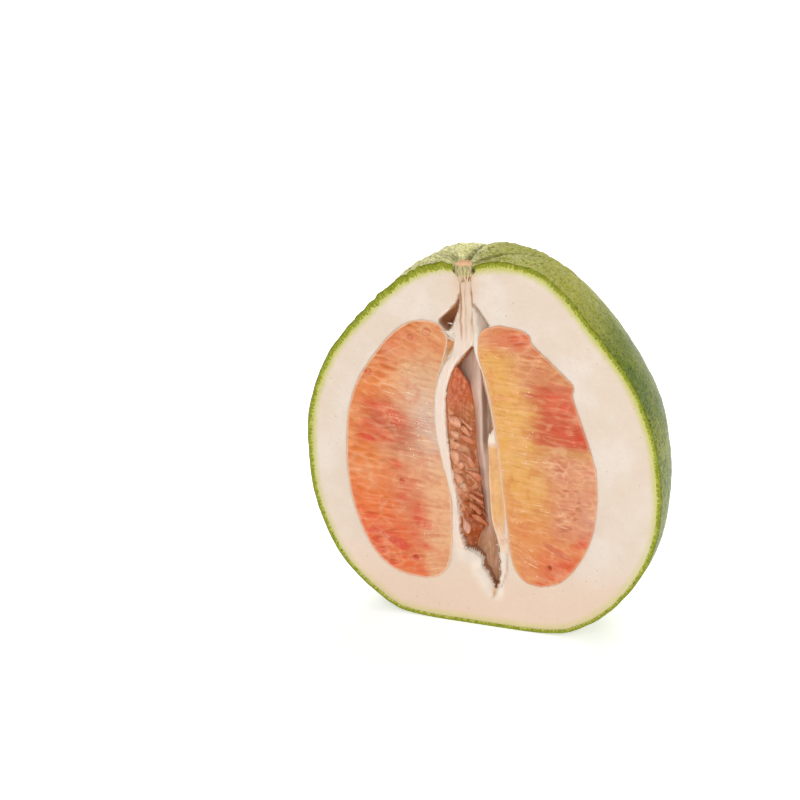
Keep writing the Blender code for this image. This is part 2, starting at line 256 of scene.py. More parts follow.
class Surface:
    """A material's node graph, with a Principled shader at its end."""

    def __init__(self, name, **settings):
        self.material = bpy.data.materials.new(name)
        self.material.use_nodes = True
        self.tree = self.material.node_tree
        self.shader = self.tree.nodes["Principled BSDF"]
        self.set(self.shader, **settings)

    def put(self, socket, value):
        """Gives a socket a number, a colour or another node's output."""
        if isinstance(value, bpy.types.NodeSocket):
            self.tree.links.new(value, socket)
        elif isinstance(value, tuple) and len(value) == 3 and socket.type == "RGBA":
            socket.default_value = (*value, 1)
        else:
            socket.default_value = value

    def set(self, node, **inputs):
        for label, value in inputs.items():
            self.put(node.inputs[label.replace("_", " ")], value)

    def node(self, kind, **inputs):
        made = self.tree.nodes.new("ShaderNode" + kind)
        self.set(made, **inputs)
        return made

    def place(self):
        """Where a point is on the object, in millimetres."""
        found = self.node("TexCoord").outputs["Object"]
        scaled = self.node("VectorMath")
        scaled.operation = "SCALE"
        self.put(scaled.inputs[0], found)
        self.set(scaled, Scale=1 / MM)
        return scaled.outputs["Vector"]

    def attribute(self, label, output="Fac"):
        found = self.node("Attribute")
        found.attribute_name = label
        return found.outputs[output]

    def noise(self, at, size, detail=3, roughness=0.55):
        made = self.node("TexNoise", Vector=at, Scale=1 / size, Detail=detail, Roughness=roughness)
        return made.outputs["Fac"]

    def voronoi(self, at, size, feature="F1"):
        made = self.node("TexVoronoi", Vector=at, Scale=1 / size)
        made.feature = feature
        return made.outputs["Distance"]

    def stretch(self, at, x=1, y=1, z=1):
        return self.node("Mapping", Vector=at, Scale=(x, y, z)).outputs["Vector"]

    def part_of(self, at, axis):
        """One number of a place: X, Y or Z."""
        return self.node("SeparateXYZ", Vector=at).outputs[axis]

    def math(self, operation, first, second=0, clamp=False):
        made = self.node("Math")
        made.operation = operation
        made.use_clamp = clamp
        self.put(made.inputs[0], first)
        self.put(made.inputs[1], second)
        return made.outputs[0]

    def times(self, first, second):
        return self.math("MULTIPLY", first, second)

    def ramp(self, value, low, high, out_low=0, out_high=1):
        made = self.node("MapRange", Value=value)
        made.interpolation_type = "SMOOTHSTEP"
        for label, number in zip(("From Min", "From Max", "To Min", "To Max"), (low, high, out_low, out_high)):
            made.inputs[label].default_value = number
        return made.outputs["Result"]

    def coats(self, under, *layers):
        """Lays colours over each other, each by an amount for each point: (amount, (red, green, blue))."""
        for amount, over in layers:
            made = self.node("Mix")
            made.data_type = "RGBA"
            self.put(made.inputs[0], amount)
            for socket, tone in ((made.inputs[6], under), (made.inputs[7], over)):
                self.put(socket, colour(*tone) if isinstance(tone, tuple) else tone)
            under = made.outputs[2]
        return under

    def bump(self, height, millimetres, strength=1, under=None):
        """Adds relief of that many millimetres for a height of 0 to 1."""
        made = self.node("Bump", Height=height, Strength=strength, Distance=millimetres * MM)
        if under:
            self.put(made.inputs["Normal"], under)
        return made.outputs["Normal"]


print("mid grey as linear light:", round(colour(128, 128, 128)[0], 3))

# %% [markdown]
# ## Camera, floor and light
#
# A long lens from far away keeps the edges parallel, as a still life is usually shot. The floor is plain
# and nearly white. One large soft panel hangs above and behind and draws the gloss along the shoulders,
# and another fills the cut face from the front.

# %% Camera
AZIMUTH, ELEVATION, DISTANCE = math.radians(21), math.radians(22), 2.5
WIDE = 0.3187  # metres of subject across the picture, square to the camera
toward = Vector(
    (math.sin(AZIMUTH) * math.cos(ELEVATION), -math.cos(AZIMUTH) * math.cos(ELEVATION), math.sin(ELEVATION))
)
lens = bpy.data.cameras.new("camera")
lens.sensor_width = 36
lens.lens = lens.sensor_width * DISTANCE / WIDE
lens.clip_end = 50
camera = bpy.data.objects.new("camera", lens)
target = Vector(in_row((0, 0, 75)).tolist())
camera.location = target + toward * DISTANCE
camera.rotation_euler = toward.to_track_quat("Z", "Y").to_euler()
# The frame is shifted, so the fruit stands right of the middle and a little below it.
lens.shift_x, lens.shift_y = -0.1023, 0.065
bpy.context.scene.collection.objects.link(camera)
bpy.context.scene.camera = camera
print("lens:", round(lens.lens), "mm")

# %% Floor and light


def soft_panel(name, place, aim, width, height, watts, tint=(1, 1, 1)):
    panel = bpy.data.lights.new(name, "AREA")
    panel.shape = "RECTANGLE"
    panel.size, panel.size_y = width, height
    panel.energy = watts
    panel.color = tint
    lamp = bpy.data.objects.new(name, panel)
    lamp.location = place
    lamp.rotation_euler = (Vector(place) - Vector(aim)).to_track_quat("Z", "Y").to_euler()
    bpy.context.scene.collection.objects.link(lamp)


floor_shape = bmesh.new()
bmesh.ops.create_circle(floor_shape, cap_ends=True, segments=96, radius=6)
floor_mesh = bpy.data.meshes.new("floor")
floor_shape.to_mesh(floor_mesh)
floor_shape.free()
floor = bpy.data.objects.new("floor", floor_mesh)
bpy.context.scene.collection.objects.link(floor)
paper = Surface("pale_paper", Base_Color=(0.86, 0.86, 0.86), Roughness=0.9, Specular_IOR_Level=0.1)
paper.set(paper.shader, Emission_Color=(1, 1, 1), Emission_Strength=0.55)
floor_mesh.materials.append(paper.material)

soft_panel("panel_above", (-0.15, 0.75, 0.95), (0, 0, 0.09), 0.9, 0.6, 10)
soft_panel("panel_front", (0.5, -1.2, 0.75), (0, 0, 0.08), 1.2, 1, 8.5, (1, 0.975, 0.94))
soft_panel("panel_right", (1.1, 0.1, 0.5), (0, 0, 0.08), 0.8, 0.8, 2)
world = bpy.data.worlds.new("studio")
world.use_nodes = True
world.node_tree.nodes["Background"].inputs["Color"].default_value = (1, 1, 1, 1)
world.node_tree.nodes["Background"].inputs["Strength"].default_value = 0.32
bpy.context.scene.world = world
bpy.context.scene.view_settings.view_transform = "Standard"

# %% [markdown]
# ## The form of the fruit
#
# The fruit is nearly a ball. Round the stalk the ball rises to a shoulder that is higher on the right and
# widest behind, the lower half is a little fuller, and a few deep furrows run down from the stalk. One
# formula of two angles, from the stalk and round it, gives all of that, so skin, rim and pith agree.

# %% The fruit's form
EQUATOR, MIDDLE_HEIGHT, LEAN = 75, 72, math.radians(5.5)
SKIN, BEHIND_CUT = 1.8, 0.4  # how thick the skin is, and where it starts behind the cut
SHOULDERS = {"left": (6.6, 10, 18.5), "right": (10, 19, 18.5), "back": (9.1, 19.5, 29)}
FURROWS = (  # azimuth round the stalk, depth, half width, and reach from the stalk in degrees
    (94, 6.5, 2.2, 21), (38, 1.8, 2.4, 19), (66, 1.1, 2.2, 15), (140, 2.2, 2.6, 20), (163, 1, 2.2, 16),
)
deg = np.radians


def skin_radius(polar, azimuth):
    """How far the skin is from the fruit's middle. Both angles are arrays, in radians."""
    to_right, to_back = (1 + np.cos(azimuth)) / 2, np.sin(azimuth) ** 2
    rise, top, width = (
        (left + (right - left) * to_right) * (1 - to_back) + back * to_back
        for left, right, back in zip(*SHOULDERS.values())
    )
    radius = EQUATOR + 4.6 * ease(deg(85), deg(135), polar) + 1.9 * bell(polar, deg(12))
    radius = radius + rise * bell(polar - deg(top), deg(width)) * (1 - 0.35 * bell(polar, deg(1.5)))
    radius = radius + 3.9 * to_back * bell(polar - deg(44), deg(35))
    for at, depth, half_width, reach in FURROWS:
        across = np.sin(polar) * radius * (np.abs(azimuth) - deg(at))
        start = 1 - bell(polar, deg(4))
        crease = (
            0.45 * bell(across, half_width + 0.06 * radius * polar)
            + 0.55 * np.exp(-np.abs(across) / (0.7 * half_width))
        )
        radius = radius - depth * crease * bell(polar, deg(reach)) * start
    return radius


MIDDLE = np.array([0, 0, MIDDLE_HEIGHT])
TURN = np.array(Matrix.Rotation(-LEAN, 3, "Y"))


def angles(places):
    """The angles from the stalk and round it, of places given along the fruit's own axis from its middle."""
    polar = np.arccos(np.clip(places[:, 2] / lengths(places), -1, 1))
    return polar, np.arctan2(np.abs(places[:, 1]), places[:, 0])


def fruit_points(directions, inset=0):
    """Points below the skin by inset, in directions from the middle given along the fruit's own axis."""
    directions = unit(directions)
    polar, azimuth = angles(directions)
    slow = np.array([noise.noise(Vector(way) * 3.1 + Vector((4.2, 1.7, 8.8))) for way in directions])
    reach = skin_radius(polar, azimuth) + 0.5 * slow - inset
    return (directions * reach[:, None]) @ TURN.T + MIDDLE, polar, azimuth


def on_table(z, above=0):
    """The fruit's own weight flattens its base, with a soft edge instead of a crease."""
    low = z - above
    return above + np.where(low < -6, 0, 0.5 * (low + np.sqrt(low**2 + 9)) * ease(-7, -1, low))


def cut_outline(inset, count=720):
    """The outline of the cut face, (x, z), clockwise from the stalk, inset below the skin."""
    angle = np.linspace(0, 2 * math.pi, count, endpoint=False)
    points, *_ = fruit_points(join(np.sin(angle), 0, np.cos(angle)), inset)
    points[:, 2] = on_table(points[:, 2], inset)
    return points[:, [0, 2]]


skin_line = cut_outline(0)
print("cut face:", np.round(skin_line.max(axis=0) - skin_line.min(axis=0), 1), "mm")

# %% [markdown]
# ## The green skin
#
# The skin is a shell nearly two millimetres thick. Its pores are as small as pin pricks and there are
# thousands, so the shader draws them. What changes the outline is real shape: slow lumps, and folds that run
# together at the stalk, where the growing fruit was pulled in.

# %% Green skin


def skin_relief(points, polar, azimuth):
    """Folds and leathery scales, strongest round the stalk."""
    near_stalk = bell(polar, deg(33))
    bend = azimuth + 0.14 * soft_noise(points, 9, 3) + 0.05 * soft_noise(points, 4, 4)
    fold = (
        np.abs(np.sin(9 * bend + 1.3)) ** 0.6 * 0.8 + np.abs(np.sin(23 * bend)) * 0.5
        + np.abs(np.sin(47 * bend)) * 0.25
    )
    scales = np.abs(soft_noise(points, 3.4, 5)) * 0.9 + np.abs(soft_noise(points, 1.9, 6)) * 0.6
    start = ease(deg(2.5), deg(8), polar)
    relief = near_stalk * start * (1.1 * fold + 1.2 * scales - 1.25)
    return relief + 0.16 * soft_noise(points, 5, 8) + 0.09 * soft_noise(points, 2.4, 9)


shape = bmesh.new()
bmesh.ops.create_uvsphere(shape, u_segments=400, v_segments=190, radius=1)
points, polar, azimuth = fruit_points(take_points(shape))
points += unit(points - MIDDLE) * skin_relief(points, polar, azimuth)[:, None]
points[:, 2] = on_table(points[:, 2])
put_points(shape, points)
bmesh.ops.bisect_plane(
    shape, geom=shape.verts[:] + shape.edges[:] + shape.faces[:], dist=1e-5,
    plane_co=(0, BEHIND_CUT, 0), plane_no=(0, 1, 0), clear_inner=True,
)
face_outwards(shape)
bmesh.ops.solidify(shape, geom=shape.faces[:], thickness=SKIN)
for vertex in shape.verts:
    if vertex.co.y < BEHIND_CUT + 0.5:
        vertex.co.y = BEHIND_CUT
face_outwards(shape)

on_skin = take_points(shape)
polar, azimuth = angles((on_skin - MIDDLE) @ TURN)
relief_here = skin_relief(on_skin, polar, azimuth)
# furrow_shade is painted shade in the deep creases that run down from the stalk.
furrow_shade, furrow_lip_glint = np.zeros(len(on_skin)), np.zeros(len(on_skin))
for at, furrow_depth, half_width, reach in FURROWS:
    across = np.sin(polar) * EQUATOR * (azimuth - deg(at)) + 0.5 * soft_noise(on_skin, 4, 13)
    strength = min(furrow_depth / 4, 1) * bell(polar, deg(reach + 4))
    furrow_shade = np.maximum(furrow_shade, strength * bell(across, 0.9 + 0.5 * strength * bell(polar, deg(12))))
    # A painted highlight along the raised edge beside each crease.
    furrow_lip_glint = np.maximum(furrow_lip_glint, strength * bell(across + 3.2, 2.2))
print("relief of the skin:", np.round([relief_here.min(), relief_here.max()], 2), "mm")

skin = Surface("green_skin", Roughness=0.34, Specular_IOR_Level=0.32, IOR=1.3)
at = skin.place()
place = skin.node("SeparateXYZ", Vector=at).outputs
high = place["Z"]
fold = skin.attribute("relief")
pores = skin.voronoi(at, 1.5)
pit = skin.ramp(pores, 0.2, 0.48, 1, 0)
patches, mottle = skin.noise(at, 24), skin.noise(at, 2.4)
fleck = skin.noise(skin.stretch(at, 1, 1, 2.2), 0.9, 3, 0.65)
crown = skin.ramp(high, 116, 150)
# left: the front of the left shoulder, which gets painted light and the most painted glints; it fades out
# towards the back.
left = skin.times(skin.ramp(place["X"], 2, -20), skin.ramp(place["Y"], 62, 34))
# Painted glints on the raised folds near the stalk.
painted_ridge_glints = skin.times(skin.ramp(fold, -0.5, 0.3, 0, 1), skin.ramp(fleck, 0.47, 0.56))
painted_ridge_glints = skin.times(painted_ridge_glints, skin.math("ADD", skin.times(left, 0.85), 0.12))
ground = skin.coats(
    (92, 112, 6),
    (skin.ramp(patches, 0.36, 0.66), (126, 134, 10)),
    (skin.ramp(mottle, 0.45, 0.75, 0, 0.5), (166, 168, 56)),
    # The top is yellower and lighter: partly the skin's own colour, partly painted light from above.
    (skin.times(crown, 0.75), (176, 172, 60)),
    # painted shade in the troughs of the folds near the stalk
    (skin.times(crown, skin.ramp(fold, -0.15, -0.85, 0, 0.8)), (84, 92, 8)),
    # painted light on the left shoulder
    (skin.times(skin.times(skin.ramp(high, 114, 138), left), 0.9), (236, 230, 150)),
    # painted glints on the folds
    (skin.times(crown, painted_ridge_glints), (255, 252, 200)),
    # painted highlight on the edge beside the creases
    (skin.times(skin.attribute("furrow_lip_glint"), skin.ramp(fleck, 0.4, 0.56)), (236, 232, 180)),
    # painted shade in the creases
    (skin.attribute("furrow_shade"), (34, 36, 4)),
    (skin.times(pit, skin.ramp(high, 116, 150, 0.8, 0.3)), (46, 66, 0)),
)
skin.set(skin.shader, Base_Color=ground)
scales = skin.times(skin.voronoi(at, 2, "SMOOTH_F1"), skin.ramp(high, 100, 145, 0.5, 1.1))
relief = skin.bump(scales, 0.8, 1)
relief = skin.bump(fleck, 0.3, 0.9, relief)
skin.set(skin.shader, Normal=skin.bump(skin.math("SUBTRACT", 1, pit), 0.24, 0.9, relief))
finish(
    shape, "skin", "peel", skin.material,
    {"relief": relief_here, "furrow_shade": 0.9 * furrow_shade, "furrow_lip_glint": 0.8 * furrow_lip_glint},
)

# %% [markdown]
# ## The cut edge of the skin
#
# Where the knife went through the skin, its oil glands show as a row of small green discs with bright
# rims. The strip is a thin slab in front of the skin's edge. Its own map, in millimetres along and across
# the strip, tells the shader how deep below the skin each point is.

# %% Cut edge of the skin
RIM_COUNT, RIM_ROWS = 1400, 5
UNDER_STALK = deg(3.3)  # the rim is open where the stalk stands, this far to each side
angle = np.linspace(UNDER_STALK, 2 * math.pi - UNDER_STALK, RIM_COUNT)
ring, ring_polar, ring_azimuth = fruit_points(join(np.sin(angle), 0, np.cos(angle)))
spokes = unit(ring - MIDDLE)
ring += spokes * skin_relief(ring, ring_polar, ring_azimuth)[:, None]
ring[:, 2] = on_table(ring[:, 2])
on_left = ease(0, -20, ring[:, 0])
thickness = 2.1 + (0.6 + 1.2 * on_left) * bell(ring_polar, deg(55)) - 0.8 * ease(deg(115), deg(150), ring_polar)
thickness = np.maximum(thickness + 0.25 * soft_noise(ring, 1.5, 11) + 0.2 * soft_noise(ring, 5, 12), 1.6)
travelled = travel(ring)
flat_part = ease(5, 0.5, ring[:, 2])[:, None]
inward = -spokes * (1 - flat_part) + np.array([0, 0, 1]) * flat_part

shape = new_grid(RIM_COUNT - 1, RIM_ROWS)
behind = set(thicken(shape))
depth_map = []
for vertex in shape.verts:
    number, across = round((vertex.co.x + 0.5) * (RIM_COUNT - 1)), vertex.co.y + 0.5
    point = ring[number] + inward[number] * across * thickness[number]
    point[1] = (
        0.38 if vertex in behind else -0.02 - 0.1 * math.sin(math.pi * across) + 0.3 * max(across - 0.75, 0) * 4
    )
    depth_map.append((travelled[number], across * thickness[number], across))
    vertex.co = point
face_outwards(shape)

rim = Surface(
    "skin_cut_edge", Roughness=0.42, Specular_IOR_Level=0.3, Subsurface_Weight=0.1, Subsurface_Scale=0.001,
)
where = rim.attribute("on_rim", "Vector")
share = rim.part_of(where, "Z")
glands, fuzz = rim.voronoi(where, 1.55), rim.noise(rim.place(), 0.5)
teeth = rim.noise(rim.stretch(where, 1, 0.4, 0), 0.8, 3, 0.6)
olive = rim.ramp(rim.part_of(rim.place(), "Z"), 118, 150)
inner = rim.math("SUBTRACT", share, rim.times(rim.math("SUBTRACT", teeth, 0.5), 2))
flesh = rim.coats(
    (88, 98, 4),
    (rim.ramp(share, 0.02, 0.16), (134, 142, 2)),
    (rim.times(olive, 0.6), (132, 132, 0)),
    (rim.ramp(glands, 0.5, 0.38, 0, 0.5), (190, 200, 48)),
    (rim.ramp(glands, 0.38, 0.26, 0, 0.8), (88, 112, 2)),
    (rim.ramp(teeth, 0.5, 0.64, 0, 0.4), (110, 122, 0)),
    (rim.ramp(inner, 0.5, 0.95, 0, 0.95), (206, 204, 104)),
    (rim.ramp(fuzz, 0.45, 0.75, 0, 0.35), (180, 186, 64)),
)
rim.set(rim.shader, Base_Color=flesh, Normal=rim.bump(glands, 0.25, 0.7))
finish(shape, "skin_cut_edge", "peel", rim.material, {"on_rim": np.array(depth_map)})

# %% [markdown]
# ## Lines on the cut face
#
# Everything on the cut face keeps to a few outlines: the two cut segments, the open middle, and the two
# brown pits beside the column under the stalk. Each is a smooth curve through a few points, in
# millimetres, (x, z). Distances to these lines decide where the pith dips and where colours change.

# %% Outlines on the cut face
LEFT_INNER = (
    (-23.9, 17.1), (-19.2, 18.6), (-15.7, 21.7), (-13.6, 26.5), (-12.9, 34), (-12.8, 46), (-13.6, 56.5),
    (-16.2, 69), (-19.2, 82), (-19.9, 92), (-18.9, 102.5), (-16.4, 112), (-14.9, 118.5), (-15.3, 123.2),
    (-18.5, 126.7), (-23.1, 127.8),
)
LEFT_OUTER = (
    (-23.9, 17.1), (-33.2, 17.8), (-40.5, 20.8), (-47, 27), (-52.2, 37), (-56, 48.5), (-57.8, 62), (-57.9, 74),
    (-56.6, 87), (-53.4, 97.5), (-49.6, 104.8), (-44, 113.2), (-38.5, 120.2), (-33.2, 124.7), (-28.5, 127),
    (-23.1, 127.8),
)
RIGHT_INNER = (
    (25.5, 20.6), (19.4, 21.6), (15.2, 25.2), (12.8, 31), (11.7, 40), (10.3, 52.3), (9.3, 60.7), (7.2, 77.6),
    (4.7, 94.1), (1.6, 107.3), (-1.1, 114.8), (-1.7, 121), (0.4, 126.6), (7.4, 129.7),
)
RIGHT_OUTER = (
    (25.5, 20.6), (32.6, 23.1), (38.3, 28.6), (43.4, 36.8), (46.8, 45.5), (48.5, 56), (48.8, 64), (48, 74),
    (44.8, 84.7), (41.1, 95.1), (38.3, 103.6), (38.6, 108), (35, 111.6), (28.7, 117.2), (21.6, 123),
    (20, 126.8), (15.5, 129), (7.4, 129.7),
)
OPEN_MIDDLE = (
    (-4.2, 119.5), (-9.4, 112.9), (-12.9, 107.7), (-15.3, 100.2), (-15.5, 90.7), (-14.1, 72), (-11.8, 53.4),
    (-10.4, 44.2), (-9.3, 36), (-7.9, 31.5), (-4, 30.6), (-0.8, 28.6), (-0.4, 25.2), (1.8, 22.2), (3.4, 19),
    (6.1, 16.2), (7.6, 19.5), (8, 25.4), (7.6, 31), (7.8, 36), (8.9, 44), (8.2, 58), (6.4, 72), (4.9, 84),
    (3, 95), (0.4, 106), (-1.6, 114.5),
)
PIT_LEFT = (
    (-9.5, 140.8), (-10.9, 137.1), (-13.3, 134.1), (-16.2, 131), (-18.1, 128.5), (-16.8, 126.6), (-14.4, 124.8),
    (-12.8, 126.9), (-11.4, 130.6), (-10.1, 134), (-9.4, 138.4),
)
PIT_RIGHT = ((-3.6, 137), (-1.3, 134.3), (2.6, 129.2), (0.6, 126.6), (-1, 124.6), (-2.2, 127), (-2.8, 131.5))
TEAR = (
    (-14.6, 121.4), (-11.4, 120.2), (-12.6, 117.4), (-14.3, 114.4), (-15.9, 110), (-15.5, 114.5),
    (-14.9, 118.5),
)
CRACKS = (
    ((-3.6, 137), (-1.3, 134.3), (2.4, 129.1)), ((10.7, 39), (11, 31), (10.4, 24), (8.4, 18)),
    ((5.4, 14.6), (4.6, 12.2)),
)


def closed_line(points, count=320):
    """A smooth closed curve through the points, as an array."""
    loop = list(points[-2:]) + list(points) + list(points[:3])
    share = np.linspace(0, 1, count * 2)
    line = curve_through(loop)(share)
    away = lengths(line - points[0])
    first, last = np.argmin(away[: count // 2]), count + np.argmin(away[count:])
    return line[first:last]


def segment_line(inner, outer, count=240):
    """The outline of a cut segment, up its inner edge and down its outer edge."""
    share = np.linspace(0, 1, count)
    return np.vstack([curve_through(inner)(share)[:-1], curve_through(outer)(share)[::-1][:-1]])


def to_line(points, line, spacing=0.2):
    """How far points (x, z) are from a closed line, plus inside and minus outside, and the nearest spots."""
    loop = np.vstack([line, line[:1]])
    travelled = travel(loop)
    at = np.arange(0, travelled[-1], spacing)
    dense = np.stack([np.interp(at, travelled, axis) for axis in loop.T], axis=1)
    run = unit(np.roll(dense, -1, axis=0) - np.roll(dense, 1, axis=0))
    turning = np.sign(np.sum(dense[:, 0] * np.roll(dense[:, 1], -1) - np.roll(dense[:, 0], -1) * dense[:, 1]))
    tree = tree_of(dense)
    pick = np.array([tree.find((x, z, 0))[1] for x, z in points.tolist()])
    rel, way = points - dense[pick], run[pick]
    slide = np.clip((rel * way).sum(axis=1), -spacing / 2, spacing / 2)
    spot = dense[pick] + way * slide[:, None]
    side = np.sign(way[:, 0] * rel[:, 1] - way[:, 1] * rel[:, 0]) * turning
    return side * lengths(points - spot), spot


LEFT_LINE = segment_line(LEFT_INNER, LEFT_OUTER)
RIGHT_LINE = segment_line(RIGHT_INNER, RIGHT_OUTER)
OPEN_LINE, *PIT_LINES = (closed_line(line) for line in (OPEN_MIDDLE, PIT_LEFT, PIT_RIGHT, TEAR))
torn = ease(34, 31, OPEN_LINE[:, 1])
OPEN_LINE += 0.55 * torn[:, None] * join(soft_noise(OPEN_LINE, 1.5, 24), soft_noise(OPEN_LINE, 1.5, 25))
PITH_LINE = cut_outline(1.2)
for label, line in (("left segment", LEFT_LINE), ("right segment", RIGHT_LINE), ("open middle", OPEN_LINE)):
    print(label, "is", np.round(line.max(axis=0) - line.min(axis=0), 1), "mm")

# %% [markdown]
# ## The white pith
#
# The pith starts as a fine flat grid. Grid points close to an outline are pulled onto it, so the edges are
# crisp, and points inside an outline sink to make the pockets, the open middle and the pits. The back of
# the same grid follows the inside of the skin, so the pith is one closed body.

# %% White pith
SQUARES, STEP = 196, 0.8  # of the grid along each side, and the size of a square
OPEN_DEPTH, UNDER_SKIN = 27.5, 3.6  # how deep the open middle is, and how far under the skin the pith ends
ON_LINE = 0.05  # a point this near to an outline counts as on it


def pocket_depth(inside):
    """How deep a segment's body is, for a distance inside its outline."""
    return 2 + 14 * (1 - np.exp(-np.maximum(inside, 0) / 6))


def depth_under_skin(flat, inset):
    """How far behind the cut a point (x, z) comes to the skin's inside, found by halving."""
    near, far = np.full(len(flat), 1), np.full(len(flat), 90)
    for _ in range(12):
        y = (near + far) / 2
        own = join(flat[:, 0], y, flat[:, 1] - MIDDLE_HEIGHT) @ TURN
        inside = lengths(own) < skin_radius(*angles(own)) - inset
        near, far = np.where(inside, y, near), np.where(inside, far, y)
    return near


def from_cracks(flat, lines):
    """How far points (x, z) are from the nearest of some open lines."""
    dense = np.vstack([curve_through(line)(np.linspace(0, 1, 60)) for line in lines])
    tree = tree_of(dense)
    return np.array([tree.find((x, z, 0))[2] for x, z in flat.tolist()])


shape = new_grid(SQUARES, SQUARES)
flat = take_points(shape)[:, :2] * SQUARES * STEP + np.array([0.4, 78])
lines = [PITH_LINE, LEFT_LINE, RIGHT_LINE, OPEN_LINE, *PIT_LINES]
for line in reversed(lines):
    away, spot = to_line(flat, line)
    close = np.abs(away) < 0.53 * STEP
    flat[close] = spot[close]
in_pith, in_left, in_right, in_open, *in_pits = (to_line(flat, line)[0] for line in lines)
grain = join(flat[:, 0], 0, flat[:, 1])
from_crack = from_cracks(flat, CRACKS)
front = 0.1 * layered_noise(grain, 4, 20) + 0.05 * soft_noise(grain, 1.3, 22)
front += 0.35 * ease(1.2, 0, -in_open) + 0.22 * ease(1.3, 0.4, in_pith)
ledge = ease(37, 31, flat[:, 1]) * ease(9, 3, flat[:, 0])
front += ledge * (2.2 * ease(5, -0.5, -in_open) ** 1.5 + 0.25 * soft_noise(grain, 2, 23) * bell(in_open, 4))
front += 0.5 * bell(from_crack, 0.5)
for inside in (in_left, in_right):
    front = np.where(inside > ON_LINE, pocket_depth(inside) + 0.4, front)
front = np.where(in_open > ON_LINE, OPEN_DEPTH, front)
deepest = (
    2 + 2 * ease(0, 2.2, in_pits[0]), 3.4 * ease(4.4, 0.2, from_crack), 0.6 + 0.8 * ease(0, 1.2, in_pits[2]),
)
for inside, depth in zip(in_pits, deepest):
    front = np.where(inside > ON_LINE, depth, front)
shape.verts.ensure_lookup_table()
lost = [vertex for vertex, inside in zip(shape.verts, in_pith) if inside < -ON_LINE]
for vertex, (x, z), y in zip(shape.verts, flat, front):
    vertex.co = (x, y, z)
bmesh.ops.delete(shape, geom=lost, context="VERTS")
behind = thicken(shape)
back = np.array([(v.co.x, v.co.z) for v in behind])
for vertex, y in zip(behind, depth_under_skin(back, UNDER_SKIN)):
    vertex.co.y = max(y, vertex.co.y + 1.5) if y > 3 else max(y, 1)
face_outwards(shape)
points = take_points(shape)
x, y, z = points.T
on_cut = points[:, [0, 2]]
near_skin = to_line(on_cut, PITH_LINE)[0]
beside = -to_line(on_cut, OPEN_LINE)[0]
# near_open marks the edge and inside of the open middle, painted tan-brown: partly the membranes' colour,
# partly painted shade of the hollow.
near_open = beside + 3 * ease(37, 32, z) * ease(9, 6, y)
in_pits = [to_line(on_cut, line)[0] for line in PIT_LINES]
is_front = ease(14, 10, y)
ledge_here = is_front * ease(7, 1, beside) * ease(46, 31, z) * ease(10.5, 8.5, x) * ease(-14, -9, x)
brown = is_front * np.maximum(ease(-0.3, 0.1, in_pits[0]), ease(-0.3, 0.1, in_pits[2]))
at_tip = is_front * bell(x - 5.2, 1.1) * bell(z - 15.2, 1.8)
glow = is_front * bell(x + 7.2, 4.6) * ease(132, 146, z)
near_crack = (
    is_front
    * (0.85 * bell(from_cracks(on_cut, CRACKS[:1]), 0.7) + 0.4 * bell(from_cracks(on_cut, CRACKS[1:]), 0.35))
)
shade_of_pit = 0.45 * is_front * ease(-0.2, 0.6, in_pits[1])

pith = Surface(
    "white_pith", Roughness=0.75, Specular_IOR_Level=0.25, Subsurface_Weight=0.35, Subsurface_Scale=0.002,
    Subsurface_Radius=(1, 0.85, 0.7),
)
at = pith.place()
high = pith.part_of(at, "Z")
cloud, fluff = pith.noise(at, 14), pith.noise(at, 1.1, 4, 0.65)
edge = pith.math("ADD", pith.attribute("near_skin"), pith.times(pith.math("SUBTRACT", fluff, 0.5), 4))
fringe = pith.times(pith.ramp(edge, 0.8, 3.8, 0.85, 0), pith.ramp(high, 30, 80, 0.6, 1))
specks = pith.voronoi(at, 5)
pit_brown = pith.coats(
    (136, 84, 48), (pith.ramp(high, 126, 136), (164, 108, 66)), (pith.ramp(high, 123, 121), (214, 154, 102)),
)
flesh = pith.coats(
    (230, 213, 196),
    (pith.ramp(cloud, 0.35, 0.7), (235, 222, 209)),
    (pith.ramp(high, 40, 12, 0, 0.8), (238, 212, 190)),
    (pith.ramp(fluff, 0.52, 0.78, 0, 0.35), (216, 194, 172)),
    (fringe, (206, 204, 106)),
    (pith.ramp(specks, 0.06, 0.03, 0, 0.6), (150, 116, 84)),
    # tan of the membranes with painted shade, at the open middle
    (pith.ramp(pith.attribute("near_open"), 0.8, -0.4, 0, 0.6), (176, 128, 92)),
    (pith.attribute("shaded"), (186, 158, 138)),
    (pith.attribute("ledge"), (247, 235, 221)),
    (pith.attribute("tan"), (228, 190, 148)),
    (pith.attribute("brown"), pit_brown),
    (pith.attribute("cracked"), (146, 98, 62)),
)
pith.set(pith.shader, Base_Color=flesh, Normal=pith.bump(fluff, 0.35, 0.7))
finish(
    shape, "white_pith", "pith", pith.material,
    {
        "near_skin": near_skin, "near_open": near_open, "brown": brown, "cracked": near_crack,
        "shaded": shade_of_pit, "ledge": ledge_here, "tan": np.maximum(at_tip, 0.6 * glow),
    },
)

# %% [markdown]
# ## The cut segments
#
# A segment is packed with juice sacs that hang from the rind and point at the core. The knife opens them
# lengthwise: near the core they are thin streaks, near the rind fat drops. So every point first gets two
# numbers, how far out from the core it is and where round the core. Seeds are scattered in those numbers,
# long one way and narrow the other, and each sac is the area nearest to one seed. The streaks bend little,
# because the core that they point at lies well beyond the segment's edge.

# %% Sacs of a segment
RED, DEEP_RED = (222, 80, 46), (204, 62, 40)


